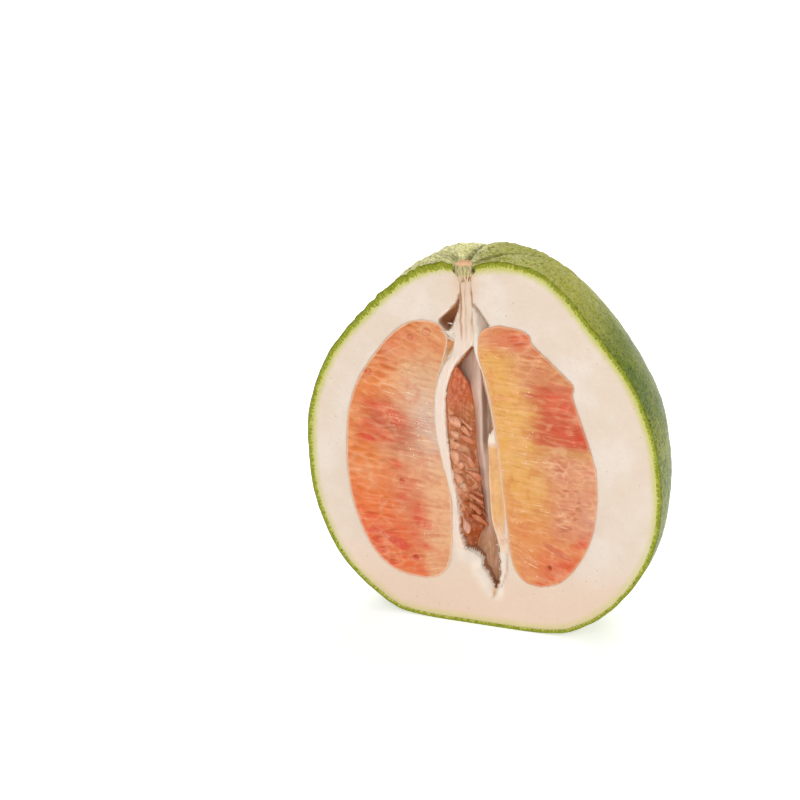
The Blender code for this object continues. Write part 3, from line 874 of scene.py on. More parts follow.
def fibre_frame(flat, low, high, outward, turn=100):
    """How far out from the core side (low to high) each point is, and where along and round it."""
    low, run = np.array(low, float), np.array(high, float) - np.array(low, float)
    length = np.linalg.norm(run)
    along = run / length
    share = np.clip((flat - low) @ along / length, 0, 1)
    rel = flat - low - (share * length)[:, None] * along
    beyond, out = rel @ along, rel @ np.array([along[1], -along[0]]) * outward
    where = share * length + turn * np.arctan2(beyond, np.maximum(out, 0.5))
    return lengths(rel), where


def scattered(out_step, along_step, out_range, along_range, seed):
    """Seeds on a jittered lattice, every other row shifted by half a step."""
    chance = np.random.default_rng(seed)
    out = np.arange(out_range[0], out_range[1], out_step)
    along = np.arange(along_range[0], along_range[1], along_step)
    grid = np.stack(np.meshgrid(out, along, indexing="ij"), axis=-1)
    grid[:, 1::2, 0] += out_step / 2
    grid += chance.uniform(-0.48, 0.48, grid.shape) * np.array([out_step, along_step])
    return grid.reshape(-1, 2)


def coats(under, *layers):
    """Lays colours over an array of colours, each by an amount for each point: ((red, green, blue), amount)."""
    under = np.array(colour(*under)) if isinstance(under, tuple) else under
    for tone, amount in layers:
        under = under + (np.array(colour(*tone)) - under) * np.clip(amount, 0, 1)[:, None]
    return under


def spot(flat, x, z, wide, high, tilt=0):
    """1 at (x, z), fading to 0 over an ellipse. tilt is its rise per millimetre to the right."""
    dx = flat[:, 0] - x
    return np.exp(-((dx / wide) ** 2) - (((flat[:, 1] - z) - tilt * dx) / high) ** 2)


def cut_segment(
    name, node, edges, line, core_side, outward, paint, seed, pale_rim, columns=118, rows=350,
):
    """The pulp of one segment: relief and colour from its sacs. paint gives the colours."""
    inner, outer = curve_through(edges[0]), curve_through(edges[1])
    shape = new_grid(columns, rows)
    grid = take_points(shape) + 0.5
    across, share = grid[:, 0], grid[:, 1]
    start, end = inner(share)[:, :2], outer(share)[:, :2]
    flat = start + (end - start) * across[:, None]
    inside = np.maximum(to_line(flat, line)[0], 0)
    from_middle = unit(flat - line.mean(axis=0))
    # The outermost ring laps a little over the pith, so no dark gap shows round the segment.
    flat = flat + 0.35 * ease(0.8, 0, inside)[:, None] * from_middle
    out, where = fibre_frame(flat, *core_side, outward)
    waver = join(flat[:, 0], 7 * seed, flat[:, 1])
    along_fibre = join(out * 0.25, 7 * seed, where)
    where = where + 1.2 * soft_noise(along_fibre, 7, seed) + 0.35 * soft_noise(along_fibre, 2.4, seed + 1)
    span, reach = (where.min() - 4, where.max() + 4), (out.min() - 6, out.max() + 6)

    streak_seeds = scattered(13, 1.7, reach, span, seed)
    drop_seeds = scattered(7, 3.3, reach, span, seed + 1)
    streak_scale, drop_scale = np.array([8.5, 1]), np.array([2.3, 1])
    here = join(out, where)
    streak, streak_edge = cells(here / streak_scale, streak_seeds / streak_scale)
    drop, drop_edge = cells(here / drop_scale, drop_seeds / drop_scale)
    small_seeds = scattered(5.4, 2.2, reach, span, seed + 8)
    warped = here + join(1.6 * soft_noise(waver, 3.5, seed + 9), 0.7 * soft_noise(waver, 2.5, seed + 10))
    hole, hole_edge = cells(warped / (2.5, 1), small_seeds / (2.5, 1))
    chance = np.random.default_rng(seed + 2)
    streak_tone, drop_tone = (
        chance.uniform(-1, 1, len(streak_seeds))[streak], chance.uniform(-1, 1, len(drop_seeds))[drop]
    )
    streak_edge, drop_edge = np.clip(streak_edge / 0.6, 0, 1), np.clip(drop_edge / 1.05, 0, 1)
    outer_part = ease(0.3, 0.72, across + 0.16 * soft_noise(waver, 6, seed + 3))
    vary = ease(-0.5, 0.5, soft_noise(waver, 8, seed + 4))
    tone = outer_part * drop_tone * drop_edge + (1 - outer_part) * streak_tone * streak_edge
    tone = tone * (0.45 + 0.55 * vary)
    sacs = SimpleNamespace(
        flat=flat, across=across, noise=waver, outer_part=outer_part, drop_tone=drop_tone,
        streak_tone=streak_tone, tone=tone, vary=vary, hole_edge=np.clip(hole_edge / 0.8, 0, 1),
        hole=chance.uniform(0, 1, len(small_seeds))[hole],
        # wet_edge_highlight: painted highlight along the edges of the sacs
        wet_edge_highlight=vary * (outer_part * (1 - drop_edge) ** 2 + (1 - outer_part) * (1 - streak_edge) ** 2 * 0.6),
    )
    tint, lace, extra, more_lines_and_glints = paint(sacs)
    skin_of_segment = ease(0.75, 0.35, inside + 0.15 * soft_noise(waver, 3, seed + 6))
    tint = coats(tint, ((246, 212, 186), pale_rim * skin_of_segment))
    # The gloss lays white light over the colour, so the colour under it is a little deeper.
    tint = np.maximum(tint * np.array([1, 0.96, 0.94]) - 0.035, 0.01)
    soft_drop = np.sqrt(np.clip(drop_edge, 0, 1))
    rise = (
        0.14 + (1 - outer_part) * 0.1 * np.sqrt(streak_edge)
        + outer_part * (0.42 + 0.16 * drop_tone) * soft_drop
    )
    rise = (
        rise * (1 - lace) + lace * (0.36 - 0.3 * ease(0.3, 0.6, sacs.hole) * ease(0.15, 0.8, sacs.hole_edge))
        + extra
    )
    rise += 0.22 * soft_noise(waver, 5, seed + 5) + 0.1 * soft_noise(along_fibre, 1.3, seed + 7)
    fade = ease(0.1, 1.6, inside)
    for vertex, (x, z), up, keep in zip(shape.verts, flat, rise, fade):
        vertex.co = (x, -0.14 * (1 - keep) - up * keep, z)
    bmesh.ops.remove_doubles(
        shape, verts=[v for v, s in zip(shape.verts, share) if min(s, 1 - s) < 0.5 / rows], dist=0.01,
    )
    for depth, shrink in ((0.5, 0), (1.6, 0.9), (5, 1.4), (10, 3.2)):
        rim_edges = [edge for edge in shape.edges if edge.is_boundary]
        grown = bmesh.ops.extrude_edge_only(shape, edges=rim_edges)
        centre = Vector((*line.mean(axis=0),)).to_3d()
        for vertex in vertices_of(grown):
            pull = Vector((centre.x - vertex.co.x, 0, centre.y - vertex.co.z)).normalized()
            vertex.co = vertex.co + pull * shrink
            vertex.co.y = depth
    bmesh.ops.holes_fill(shape, edges=[edge for edge in shape.edges if edge.is_boundary], sides=0)
    face_outwards(shape)
    # The attributes follow the vertices by place, because merging and extruding renumber them.
    table = {(round(x, 4), round(z, 4)): number for number, (x, z) in enumerate(flat)}
    last, order = 0, []
    for vertex in shape.verts:
        last = table.get((round(vertex.co.x, 4), round(vertex.co.z, 4)), last)
        order.append(last)
    order = np.array(order)
    fibre = join(out, where, more_lines_and_glints - 0.6 * outer_part)
    finish(
        shape, name, node, pulp.material,
        {"tint": tint[order], "fibre": fibre[order], "plain": pale_rim * skin_of_segment[order]},
    )


pulp = Surface(
    "juice_sacs", Roughness=0.3, Specular_IOR_Level=0.35, Subsurface_Weight=0.4, Subsurface_Scale=0.0018,
    Subsurface_Radius=(1, 0.42, 0.2), Coat_Weight=0.4, Coat_Roughness=0.06,
)
tint, fibre, plain = pulp.attribute("tint", "Color"), pulp.attribute("fibre", "Vector"), pulp.attribute("plain")
at = pulp.place()
fine = pulp.noise(pulp.stretch(fibre, 0.1, 1.5, 0), 1, 3, 0.6)
middling = pulp.noise(pulp.stretch(fibre, 0.09, 0.62, 0), 1, 3, 0.6)
extra = pulp.part_of(fibre, "Z")
here_and_there = pulp.math("ADD", pulp.ramp(pulp.noise(at, 9, 2), 0.46, 0.64), extra, clamp=True)
slow = pulp.noise(at, 4.5, 3, 0.6)
# Thin pale lines along the sacs: their pale walls, with painted highlights along them.
threads = pulp.times(pulp.ramp(fine, 0.57, 0.68, 0, 0.7), here_and_there)
glints = pulp.times(pulp.ramp(pulp.voronoi(at, 2), 0.15, 0.07), here_and_there)
flesh = pulp.coats(
    tint,
    (pulp.ramp(slow, 0.5, 0.34, 0, 0.3), (206, 88, 34)),
    (pulp.ramp(slow, 0.54, 0.7, 0, 0.3), (244, 188, 136)),
    (pulp.ramp(middling, 0.5, 0.66, 0, 0.24), (244, 190, 138)),
    (pulp.ramp(middling, 0.48, 0.34, 0, 0.18), (190, 92, 44)),
    (pulp.times(pulp.ramp(fine, 0.46, 0.3, 0, 0.45), here_and_there), (184, 112, 76)),
    (threads, (250, 216, 182)),
    (plain, tint),
    (pulp.times(glints, 0.9), (255, 240, 214)),
)
pulp.set(pulp.shader, Base_Color=flesh)
wet = pulp.bump(middling, 0.3, 0.8, pulp.bump(fine, 0.1, 0.8, pulp.bump(slow, 0.8, 0.8)))
pulp.set(pulp.shader, Normal=pulp.bump(pulp.noise(at, 0.8, 2), 0.1, 0.6, wet))


# %% Colours of the left segment


def rings(tint, flat, drops):
    """Sacs cut straight across show as round drops: (x, z, radius, how red)."""
    extra = np.zeros(len(flat))
    for x, z, size, red in drops:
        away = np.hypot(flat[:, 0] - x, (flat[:, 1] - z) * 1.1)
        tint = coats(
            tint,
            (DEEP_RED, red * ease(size * 1.05, size * 0.7, away) * 0.8),
            ((184, 92, 58), 0.5 * bell(away - size, 0.3)),
            ((246, 206, 172), 0.18 * bell(away - size - 0.5, 0.3)),
        )
        extra += 0.35 * ease(size, size * 0.5, away)
    return tint, extra


LEFT_TONES = (  # x, z, half width, half height, colour and how much of it
    (-22, 84, 11, 16, (220, 196, 180), 1), (-37, 78, 10, 10, (186, 100, 68), 0.9),
    (-33, 56, 6, 9, (216, 108, 68), 0.8), (-43, 84, 9, 7, (194, 72, 34), 0.95),
    (-17, 45, 6, 18, (236, 188, 142), 0.7), (-18, 24, 7, 7, (232, 168, 124), 0.85),
    (-28, 46, 7, 14, (214, 112, 74), 0.75), (-20, 50, 5, 14, (238, 190, 146), 0.6),
)
LEFT_REDS = (  # x, z, half width and half height of the reddest spots
    (-46, 89, 4.5, 1.7), (-39, 85.5, 5.5, 2.6), (-49, 79, 4, 2.8), (-42, 77, 5.5, 2), (-48, 74.5, 5, 1.5),
    (-36.5, 65, 2.6, 1.8), (-34, 50.5, 2.2, 1.6), (-26.5, 44.5, 3.2, 4.6), (-24, 40, 4, 1.8),
    (-31, 36.5, 3.4, 2.4), (-36, 30.5, 5.5, 2.6), (-45, 34, 4, 2.4), (-25, 31, 4, 1.5), (-43, 27, 3.4, 2.2),
    (-25, 19.5, 2.6, 2.4),
)


def paint_left(sacs):
    flat, z = sacs.flat, sacs.flat[:, 1]
    cloud, small = soft_noise(sacs.noise, 8, 40), soft_noise(sacs.noise, 2.6, 41)
    reach = sacs.across + 0.1 * cloud
    red_vary = 0.85 + 0.5 * small + 0.3 * sacs.drop_tone
    tint = coats(
        (232, 182, 138),
        ((232, 142, 76), ease(0.25, 0.8, reach)),
        ((232, 98, 14), 0.95 * ease(74, 30, z + 5 * cloud) * ease(0.2, 0.6, reach)),
        ((223, 146, 88), 0.9 * ease(104, 116, z + 4 * cloud)),
        ((226, 130, 84), 0.8 * spot(flat, -39, 115, 8, 7, 0.6)),
        ((222, 180, 132), 0.8 * spot(flat, -24, 107, 9, 7)),
        *((tone, much * spot(flat, *at, -0.2)) for *at, tone, much in LEFT_TONES),
        *((RED, 1.1 * red_vary * spot(flat, *at, -0.25)) for at in LEFT_REDS),
        # painted highlight on the wet edges of the sacs
        ((248, 206, 168), 0.34 * sacs.wet_edge_highlight),
        ((204, 76, 30), 0.5 * np.maximum(sacs.tone, 0)),
        ((246, 194, 142), 0.38 * np.maximum(-sacs.tone, 0)),
    )
    # Where the thin pale lines and the painted glints are strongest.
    threads = np.maximum(1.3 * spot(flat, -27, 84, 10, 12, -0.3), 0.9 * spot(flat, -37, 96, 9, 6, -0.3))
    tint, extra = rings(tint, flat, (
        (-23.5, 123.2, 1.8, 0.2), (-30.4, 120, 1.4, 0.35), (-48.8, 103, 1.9, 0.55), (-28.2, 25.3, 1.4, 1),
        (-34.2, 57.6, 1.3, 0.8),
    ))
    return tint, np.zeros(len(flat)), extra, threads


# %% Colours of the right segment
RIGHT_TONES = (
    (36, 92, 8, 5, (206, 104, 76), 0.6), (15, 125, 8, 4, (212, 94, 60), 0.95),
    (24, 113, 10, 7, (216, 132, 96), 0.75), (46, 52, 4, 10, (212, 148, 126), 0.7),
    (34, 29, 13, 9, (228, 112, 80), 0.85), (13, 30, 5, 12, (232, 164, 100), 0.8),
)
RIGHT_REDS = (  # x, z, half width, half height and tilt
    (34, 98, 8, 4, -0.1), (38, 87, 8, 3.4, -0.1), (17, 126, 4.5, 2, -0.1), (43, 41, 4, 3, 0.3),
    (31, 25.5, 4.6, 2.4, 0.15), (25, 21.6, 3, 1.2, 0.1), (31, 103, 5, 1.6, 0.1), (37, 32, 4, 2, 0.4),
)


def paint_right(sacs):
    flat, z = sacs.flat, sacs.flat[:, 1]
    cloud, small = soft_noise(sacs.noise, 8, 50), soft_noise(sacs.noise, 2.6, 51)
    reach = sacs.across + 0.1 * cloud
    lace = ease(0.42, 0.62, reach) * ease(80, 74, z + 2 * cloud) * ease(38, 44, z + 2 * cloud)
    red_side = (
        ease(0.34, 0.66, reach + 0.1 * sacs.streak_tone) * ease(79, 83, z + 1.5 * cloud)
        * ease(111, 105, z + 2 * cloud)
    )
    club = np.hypot((flat[:, 0] - 32) / 6.5, ((z - 37) + 0.45 * (flat[:, 0] - 32)) / 2.1)
    dimple = np.hypot(flat[:, 0] - 28.9, flat[:, 1] - 29.4)
    tint = coats(
        (232, 178, 96),
        ((214, 156, 96), ease(0.28, 0.62, reach)),
        ((228, 150, 88), 0.9 * ease(66, 40, z + 3 * cloud)),
        ((227, 154, 108), 0.9 * ease(115, 123, z)),
        ((224, 158, 120), 0.9 * lace),
        ((202, 118, 80), 0.65 * lace * ease(0.3, 0.6, sacs.hole) * ease(0.2, 0.8, sacs.hole_edge)),
        ((248, 200, 170), 0.6 * lace * ease(0.4, 0, sacs.hole_edge) * (0.3 + 0.7 * sacs.vary)),
        ((204, 92, 62), 0.9 * red_side),
        *((tone, much * spot(flat, *at) * (0.9 + 0.2 * small)) for *at, tone, much in RIGHT_TONES),
        *((RED, 0.85 * spot(flat, *at) * (0.85 + 0.4 * small)) for at in RIGHT_REDS),
        ((212, 116, 88), 0.7 * ease(1, 0.6, club)),
        ((246, 196, 168), 0.3 * bell(club - 1.08, 0.08) * (0.6 + small)),
        # painted highlight on the wet edges of the sacs
        ((248, 206, 166), 0.36 * sacs.wet_edge_highlight * (1 - lace)),
        ((196, 84, 50), 0.3 * np.maximum(sacs.tone, 0) * (0.3 + 0.7 * sacs.outer_part)),
        ((242, 198, 138), 0.26 * np.maximum(-sacs.tone, 0)),
        # painted shade in the small dent
        ((132, 56, 34), 0.75 * ease(1.2, 0.3, dimple)),
    )
    # Where the thin pale lines and the painted glints are strongest.
    threads = 0.7 * np.maximum(spot(flat, 30, 52, 8, 9, -0.2), spot(flat, 20, 90, 3, 8))
    return tint, lace, -0.8 * ease(1.5, 0.3, dimple), threads


# %% The two cut segments
cut_segment("left_segment", "pulp_left", (LEFT_INNER, LEFT_OUTER), LEFT_LINE,
            ((60, 45), (65, 94)), -1, paint_left, 60, pale_rim=0.7)
cut_segment("right_segment", "pulp_right", (RIGHT_INNER, RIGHT_OUTER), RIGHT_LINE,
            ((-80, 60), (-77, 112)), 1, paint_right, 70, pale_rim=0.3)

# %% [markdown]
# ## The open middle
#
# The segments have pulled apart, so the middle is open and nearly as deep as a finger is thick. A lining
# carries its brown walls back and round. On its left the next segment is bare, its sacs torn out of their
# wall. Most of it is one rippled sheet of pulp with torn flakes, and the sacs that hang free are modelled
# one by one.

# %% Slabs


def slab(columns, rows, place):
    """A closed body of columns by rows: place(across, along, back) gives the points, all from 0 to 1."""
    shape = new_grid(columns, rows)
    behind = set(thicken(shape))
    grid = take_points(shape) + 0.5
    back = np.array([float(vertex in behind) for vertex in shape.verts])
    points = place(grid[:, 0], grid[:, 1], back)
    put_points(shape, points)
    face_outwards(shape)
    return shape, grid[:, 0], grid[:, 1], points


def along_course(course, share):
    """Points, widths and unit sides along a course of (x, z, width) from top to bottom."""
    line = curve_through(course)
    at, ahead, before = line(share), line(np.minimum(share + 0.01, 1)), line(np.maximum(share - 0.01, 0))
    run = ahead[:, :2] - before[:, :2]
    side = unit(join(-run[:, 1], run[:, 0]))
    return at[:, :2], at[:, 2], side


def between(left, right, across):
    return left + (right - left) * across[:, None]


# %% Brown lining of the open middle
count = len(OPEN_LINE)
heights = OPEN_LINE[:, 1]


def middle_of(z):
    """The middle between the left and the right edge of the opening, at a height."""
    found = []
    for height in np.atleast_1d(z):
        near = OPEN_LINE[np.abs(heights - height) < 2.5, 0]
        found.append((near.min() + near.max()) / 2)
    return np.array(found)


shape = new_grid(count, 26)
grid = take_points(shape) + 0.5
number = np.round(grid[:, 0] * count).astype(int) % count
start = OPEN_LINE[number]
centre = middle_of(np.clip(heights, heights.min() + 2, heights.max() - 2))[number]
deep = grid[:, 1]
pull = ease(0.55, 1, deep) * 0.98 + 0.1 * np.sin(math.pi * deep)
belly = 0.45 + 0.55 * np.sin(math.pi * np.clip((start[:, 1] - 6) / 118, 0.02, 0.98)) ** 0.6
depth = 26.5 * belly * (1 - (1 - np.minimum(deep * 1.25, 1)) ** 1.6)
wavy = join(start[:, 0], depth, start[:, 1])
points = join(start[:, 0] + (centre - start[:, 0]) * pull, 0.35 + depth, start[:, 1])
points[:, 0] += 0.35 * soft_noise(wavy * (1, 1, 0.35), 2.5, 80) * ease(0, 0.15, deep)
points[:, 1] += 0.8 * soft_noise(wavy, 6, 81) * deep + 2.2 * ease(36, 31, start[:, 1]) * (start[:, 0] < 5)
put_points(shape, points)
right_side = ease(-0.5, 0.5, start[:, 0] - centre)
lining_of = {tuple(np.round(p, 3)): (d, r) for p, d, r in zip(points, deep, right_side)}
bmesh.ops.remove_doubles(shape, verts=shape.verts[:], dist=0.01)
face_outwards(shape)
inward_mean = sum(f.normal.y for f in shape.faces if f.calc_center_median().y > 15)
if inward_mean > 0:
    bmesh.ops.reverse_faces(shape, faces=shape.faces[:])
bmesh.ops.solidify(shape, geom=shape.faces[:], thickness=-0.45)
facts = np.array([lining_of.get(tuple(np.round(p, 3)), (0.8, 0.5)) for p in take_points(shape)])

lining = Surface(
    "brown_lining", Roughness=0.42, Specular_IOR_Level=0.4, Subsurface_Weight=0.1, Subsurface_Scale=0.001,
)
at = lining.place()
streaks = lining.noise(lining.stretch(at, 1.4, 0.9, 0.18), 1, 4)
wall = lining.coats(
    (206, 128, 84),
    (lining.attribute("right_side"), (196, 150, 116)),
    # darker further back in the open middle: painted shade
    (lining.ramp(lining.attribute("deep"), 0.15, 0.7), (176, 106, 58)),
    (lining.ramp(streaks, 0.4, 0.72, 0, 0.55), (104, 60, 34)),
    (lining.ramp(lining.part_of(at, "Z"), 37, 33, 0, 0.9), (168, 122, 92)),
    (lining.ramp(lining.attribute("deep"), 0.1, 0), (236, 212, 194)),
)
lining.set(lining.shader, Base_Color=wall, Normal=lining.bump(streaks, 0.4, 0.7))
finish(
    shape, "brown_lining", "pith", lining.material,
    {"deep": facts[:, 0], "right_side": facts[:, 1]},
)

# %% Bare pulp of the next segment
bare = Surface(
    "bare_pulp", Roughness=0.3, Specular_IOR_Level=0.45, Subsurface_Weight=0.45, Subsurface_Scale=0.002,
    Subsurface_Radius=(1, 0.45, 0.25), Coat_Weight=0.25, Coat_Roughness=0.12,
)
at = bare.place()
run_down = bare.noise(bare.stretch(at, 1, 0.8, 0.3), 1.1)
glints = bare.ramp(bare.voronoi(at, 2.4), 0.11, 0.05, 0, 0.7)
flesh = bare.coats(
    bare.attribute("tint", "Color"),
    (bare.ramp(run_down, 0.52, 0.7, 0, 0.4), (240, 184, 146)),
    (bare.ramp(run_down, 0.48, 0.32, 0, 0.25), (140, 66, 30)),
    (glints, (255, 226, 196)),
)
bare.set(bare.shader, Base_Color=flesh, Normal=bare.bump(run_down, 0.35, 0.8))

BARE_LEFT = curve_through((
    (-11, 114), (-14, 110), (-16.2, 105.6), (-17.5, 101), (-18.1, 93), (-17.7, 80), (-16.2, 71), (-14.6, 61.5),
    (-12.8, 52), (-11.8, 46), (-11.2, 40), (-9.6, 31), (-8.4, 25),
))
BARE_RIGHT = curve_through((
    (-12.6, 112.5), (-10.6, 106), (-8.6, 99.5), (-7.2, 93), (-6.3, 84), (-5.8, 76), (-5.2, 68), (-4.2, 60),
    (-2.9, 51), (-2.3, 43), (-2.6, 37), (-3, 31), (-2.6, 25),
))
LENGTHWISE, CROSSWISE = np.array([0.55, -0.83]), np.array([0.83, 0.55])
OPEN_EDGE = np.array(OPEN_MIDDLE[9::-1])
bare_facts = {}


def bare_sheet(across, along, back):
    flat = between(BARE_LEFT(along), BARE_RIGHT(along), across)
    x, z = flat.T
    from_edge = np.maximum(x - np.interp(z, OPEN_EDGE[:, 1], OPEN_EDGE[:, 0]) - 0.2, 0)
    wave = join(x, 0, z)
    run, side = flat @ LENGTHWISE, flat @ CROSSWISE
    ragged = soft_noise(join(run * 0.42, 0, side), 2.3, 82) + 0.5 * soft_noise(join(run * 0.6, 0, side), 1, 83)
    flakes = (
        ease(-0.12, 0.12, ragged + 0.7 * ease(4.5, 1, from_edge) - 0.35) * ease(94, 86, z) * ease(42, 50, z)
    )
    lines = np.abs(soft_noise(join(x * 0.25, 0, z + 0.35 * x), 1.7, 86))
    y = 0.9 + 9 * (from_edge / 9) ** 0.9 - 1.1 * flakes * ease(0, 1.5, from_edge) + 2.8 * ease(40, 35, z)
    y = y + 0.3 * soft_noise(wave, 1.2, 85) + 0.4 * lines * np.maximum(ease(60, 48, z), ease(3, 6, from_edge))
    bare_facts["flakes"] = flakes
    return join(x, y + back * 2, z)


shape, across, _, points = slab(60, 300, bare_sheet)
z = points[:, 2]
tint = coats(
    (206, 122, 70),
    ((206, 108, 64), ease(84, 96, z)),
    ((208, 130, 84), 0.9 * ease(92, 82, z) * ease(46, 56, z)),
    ((226, 164, 126), 0.75 * bare_facts["flakes"]),
    # darker orange lower down, where the sheet lies further back: partly the pulp's colour, partly painted
    # shade
    ((178, 88, 32), 0.85 * ease(62, 46, z) * ease(0.25, 0.5, across)),
    ((196, 120, 50), 0.6 * bell(z - 88, 4) * ease(0.7, 0.95, across)),
)
finish(shape, "bare_sheet", "pulp_back", bare.material, {"tint": tint})

# %% Sacs that hang free
SAC_SIDES, SAC_RINGS = 14, 12
SAC_LAYERS = (  # reach from the left edge, depth, slope in degrees, half thickness and length
    (2.6, 1.6, (25, 60), (1.8, 2.6), (5, 8)), (5.2, 4, (10, 42), (1, 1.6), (6, 9)),
    (6.4, 6.6, (0, 20), (0.8, 1.1), (5, 6.5)),
)
chance = np.random.default_rng(90)
shape = bmesh.new()
sac_facts = []
for root_z in np.arange(46, 90, 4.6):
    left_x = float(np.interp(root_z, *BARE_LEFT(np.linspace(1, 0, 200))[:, ::-1].T))
    for layer, (reach, sunk, steep, size, long) in enumerate(SAC_LAYERS):
        if (layer == 2 and root_z > 62) or (layer and chance.uniform(0, 1) < 0.2):
            continue
        slope, length, radius = (chance.uniform(*limits) for limits in (steep, long, size))
        if root_z < 58 and layer == 0:
            slope, radius = chance.uniform(60, 85), radius * 0.7
        slope = math.radians(slope)
        bend, turned, bumps = chance.uniform(-1.6, 0.8), chance.uniform(-0.12, 0.3), chance.uniform(0, 6)
        way = np.array([math.cos(slope), turned, -math.sin(slope)])
        jitter = [chance.uniform(*limits) for limits in ((-0.6, 0.8), (-0.5, 0.7), (-1, 1))]
        root = np.array([left_x + reach, sunk, root_z]) + jitter
        made = bmesh.ops.create_uvsphere(shape, u_segments=SAC_SIDES, v_segments=SAC_RINGS, radius=1)["verts"]
        up = unit(np.cross(way, (0, 1, 0)))
        aside = np.cross(up, way)
        tone = chance.uniform(-1, 1)
        for vertex in made:
            t = (vertex.co.z + 1) / 2
            thick = radius * (0.6 + 0.6 * t) * (1 + 0.16 * math.sin(7 * t + bumps))
            rise = bend * t * t + vertex.co.x * thick + 0.25 * math.sin(5 * t + bumps) * vertex.co.x
            spot_at = root + way * length * t + up * rise
            vertex.co = spot_at + aside * (vertex.co.y * thick * 0.45 + 0.3 * vertex.co.x**2 * thick)
            sac_facts.append((tone, t, layer))
face_outwards(shape)
tone, tip, layer = np.array(sac_facts).T
z = take_points(shape)[:, 2]
tint = coats(
    (212, 144, 104),
    ((230, 174, 138), 0.8 * ease(0.25, 0.9, tip) * (layer == 0) + 0.4 * ease(0.5, 1, tip)),
    # Sacs further back, and the roots behind the band, are painted darker: painted shade.
    ((206, 112, 68), 0.3 + 0.25 * tone - 0.25 * (layer == 0) + 0.4 * ease(0.4, 0, tip)),
    ((184, 98, 44), 0.75 * ease(64, 48, z) * (layer > 0)),
    ((216, 164, 142), 0.8 * ease(60, 46, z) * (layer == 0)),
    ((204, 98, 66), 0.8 * ease(84, 94, z)),
)
finish(shape, "bare_sacs", "pulp_back", bare.material, {"tint": tint})

# %% [markdown]
# ## Walls, column and sliver
#
# Thin walls divide the segments. One stands on edge in the open middle and catches light along its ridge.
# The column under the stalk is made of pale strands and runs down into the thick wall beside the left
# segment. A sliver of a third segment lies against the right one.

# %% The wall behind the opening
membrane = Surface(
    "membrane", Roughness=0.45, Specular_IOR_Level=0.35, Subsurface_Weight=0.3, Subsurface_Scale=0.0015,
    Subsurface_Radius=(1, 0.85, 0.7),
)
at = membrane.place()
threads = membrane.noise(membrane.stretch(at, 1.8, 1.2, 0.16), 1, 4)
tint = membrane.attribute("tint", "Color")
clear = membrane.coats(tint, (membrane.ramp(threads, 0.4, 0.7), (250, 236, 222)))
membrane.set(membrane.shader, Base_Color=membrane.coats(tint, (0.3, clear)))
membrane.set(membrane.shader, Normal=membrane.bump(threads, 0.25, 0.6))

RIDGE = (
    (-3.4, 118, 12), (-3.3, 109.6, 11.5), (-3.2, 94, 8), (-3.1, 82, 6), (-2.7, 74, 6), (-1.7, 66, 6),
    (-0.8, 58, 5.5), (-0.2, 50, 5), (0.6, 40, 5), (1.2, 30, 9), (2.4, 21, 9.5), (3.2, 13, 7),
)


def back_wall(across, along, back):
    at, left_reach, _ = along_course(RIDGE, along)
    x, z = at.T
    left, right = ease(0.55, 0, across), ease(0.55, 1, across)
    step = ease(0.55, 0.62, across) * ease(70, 80, z)
    x = x - left_reach * np.maximum(0.55 - across, 0) / 0.55 + 7.5 * np.maximum(across - 0.55, 0) / 0.45
    y = 8 - 3 * ease(42, 28, z) + 2.8 * left + 3.2 * step + 3 * right * ease(66, 80, z) + right
    wave = join(x, y, z * 0.5)
    return join(x, y + 0.8 * back + 0.35 * soft_noise(wave, 3, 85) + 0.3 * soft_noise(wave, 7, 84), z)


shape, across, _, points = slab(60, 220, back_wall)
z = points[:, 2]
blotches = layered_noise(points * (1, 0, 0.6), 3.5, 88)
upper = ease(68, 80, z)
tint = coats(
    (214, 178, 158),
    # painted highlight along the ridge, where the wall stands on edge
    ((240, 214, 196), 0.8 * bell(across - 0.5, 0.07)),
    # Right of the ridge the wall steps back and is painted darker: partly the membrane's brown mottling, partly
    # painted shade.
    ((204, 172, 142), upper * ease(0.55, 0.62, across)),
    ((116, 82, 54), 0.7 * upper * ease(0.56, 0.62, across) * ease(0.05, 0.45, blotches)),
    ((198, 142, 100), 0.9 * ease(50, 34, z)),
    ((176, 118, 76), 0.5 * ease(0, 0.5, blotches) * ease(50, 34, z)),
)
finish(shape, "back_wall", "wall_back", membrane.material, {"tint": tint})

# %% The thin wall beside the right segment
WALL = (
    (-2.6, 127, 1.4), (-2.6, 123.5, 1.9), (-2.5, 119.5, 1.5), (-1.8, 114.6, 0.9), (1, 107, 0.55),
    (4.2, 94, 0.5), (6.8, 77.6, 0.5), (8.9, 60.6, 0.5), (9.9, 52.2, 0.5), (11.3, 40, 0.5), (12.3, 32, 0.45),
    (13.6, 27.5, 0.4),
)


def thin_wall(across, along, back):
    at, width, side = along_course(WALL, along)
    spot_at = at + side * (width * (across - 0.5))[:, None]
    wave = join(at[:, 0], 0, at[:, 1])
    y = -0.2 - 0.12 * np.sin(math.pi * across) + 0.1 * soft_noise(wave, 2, 86)
    y = y + back * (5 + 3 * np.sin(math.pi * along)) + 0.8 * np.abs(2 * along - 1) ** 24
    spot_at = spot_at + side * (0.12 * soft_noise(wave, 1.6, 87))[:, None]
    return join(spot_at[:, 0], y, spot_at[:, 1])


shape, *_, points = slab(6, 360, thin_wall)
tint = coats((242, 190, 156), ((236, 222, 208), ease(108, 118, points[:, 2])))
finish(shape, "thin_wall", "wall_right", membrane.material, {"tint": tint})

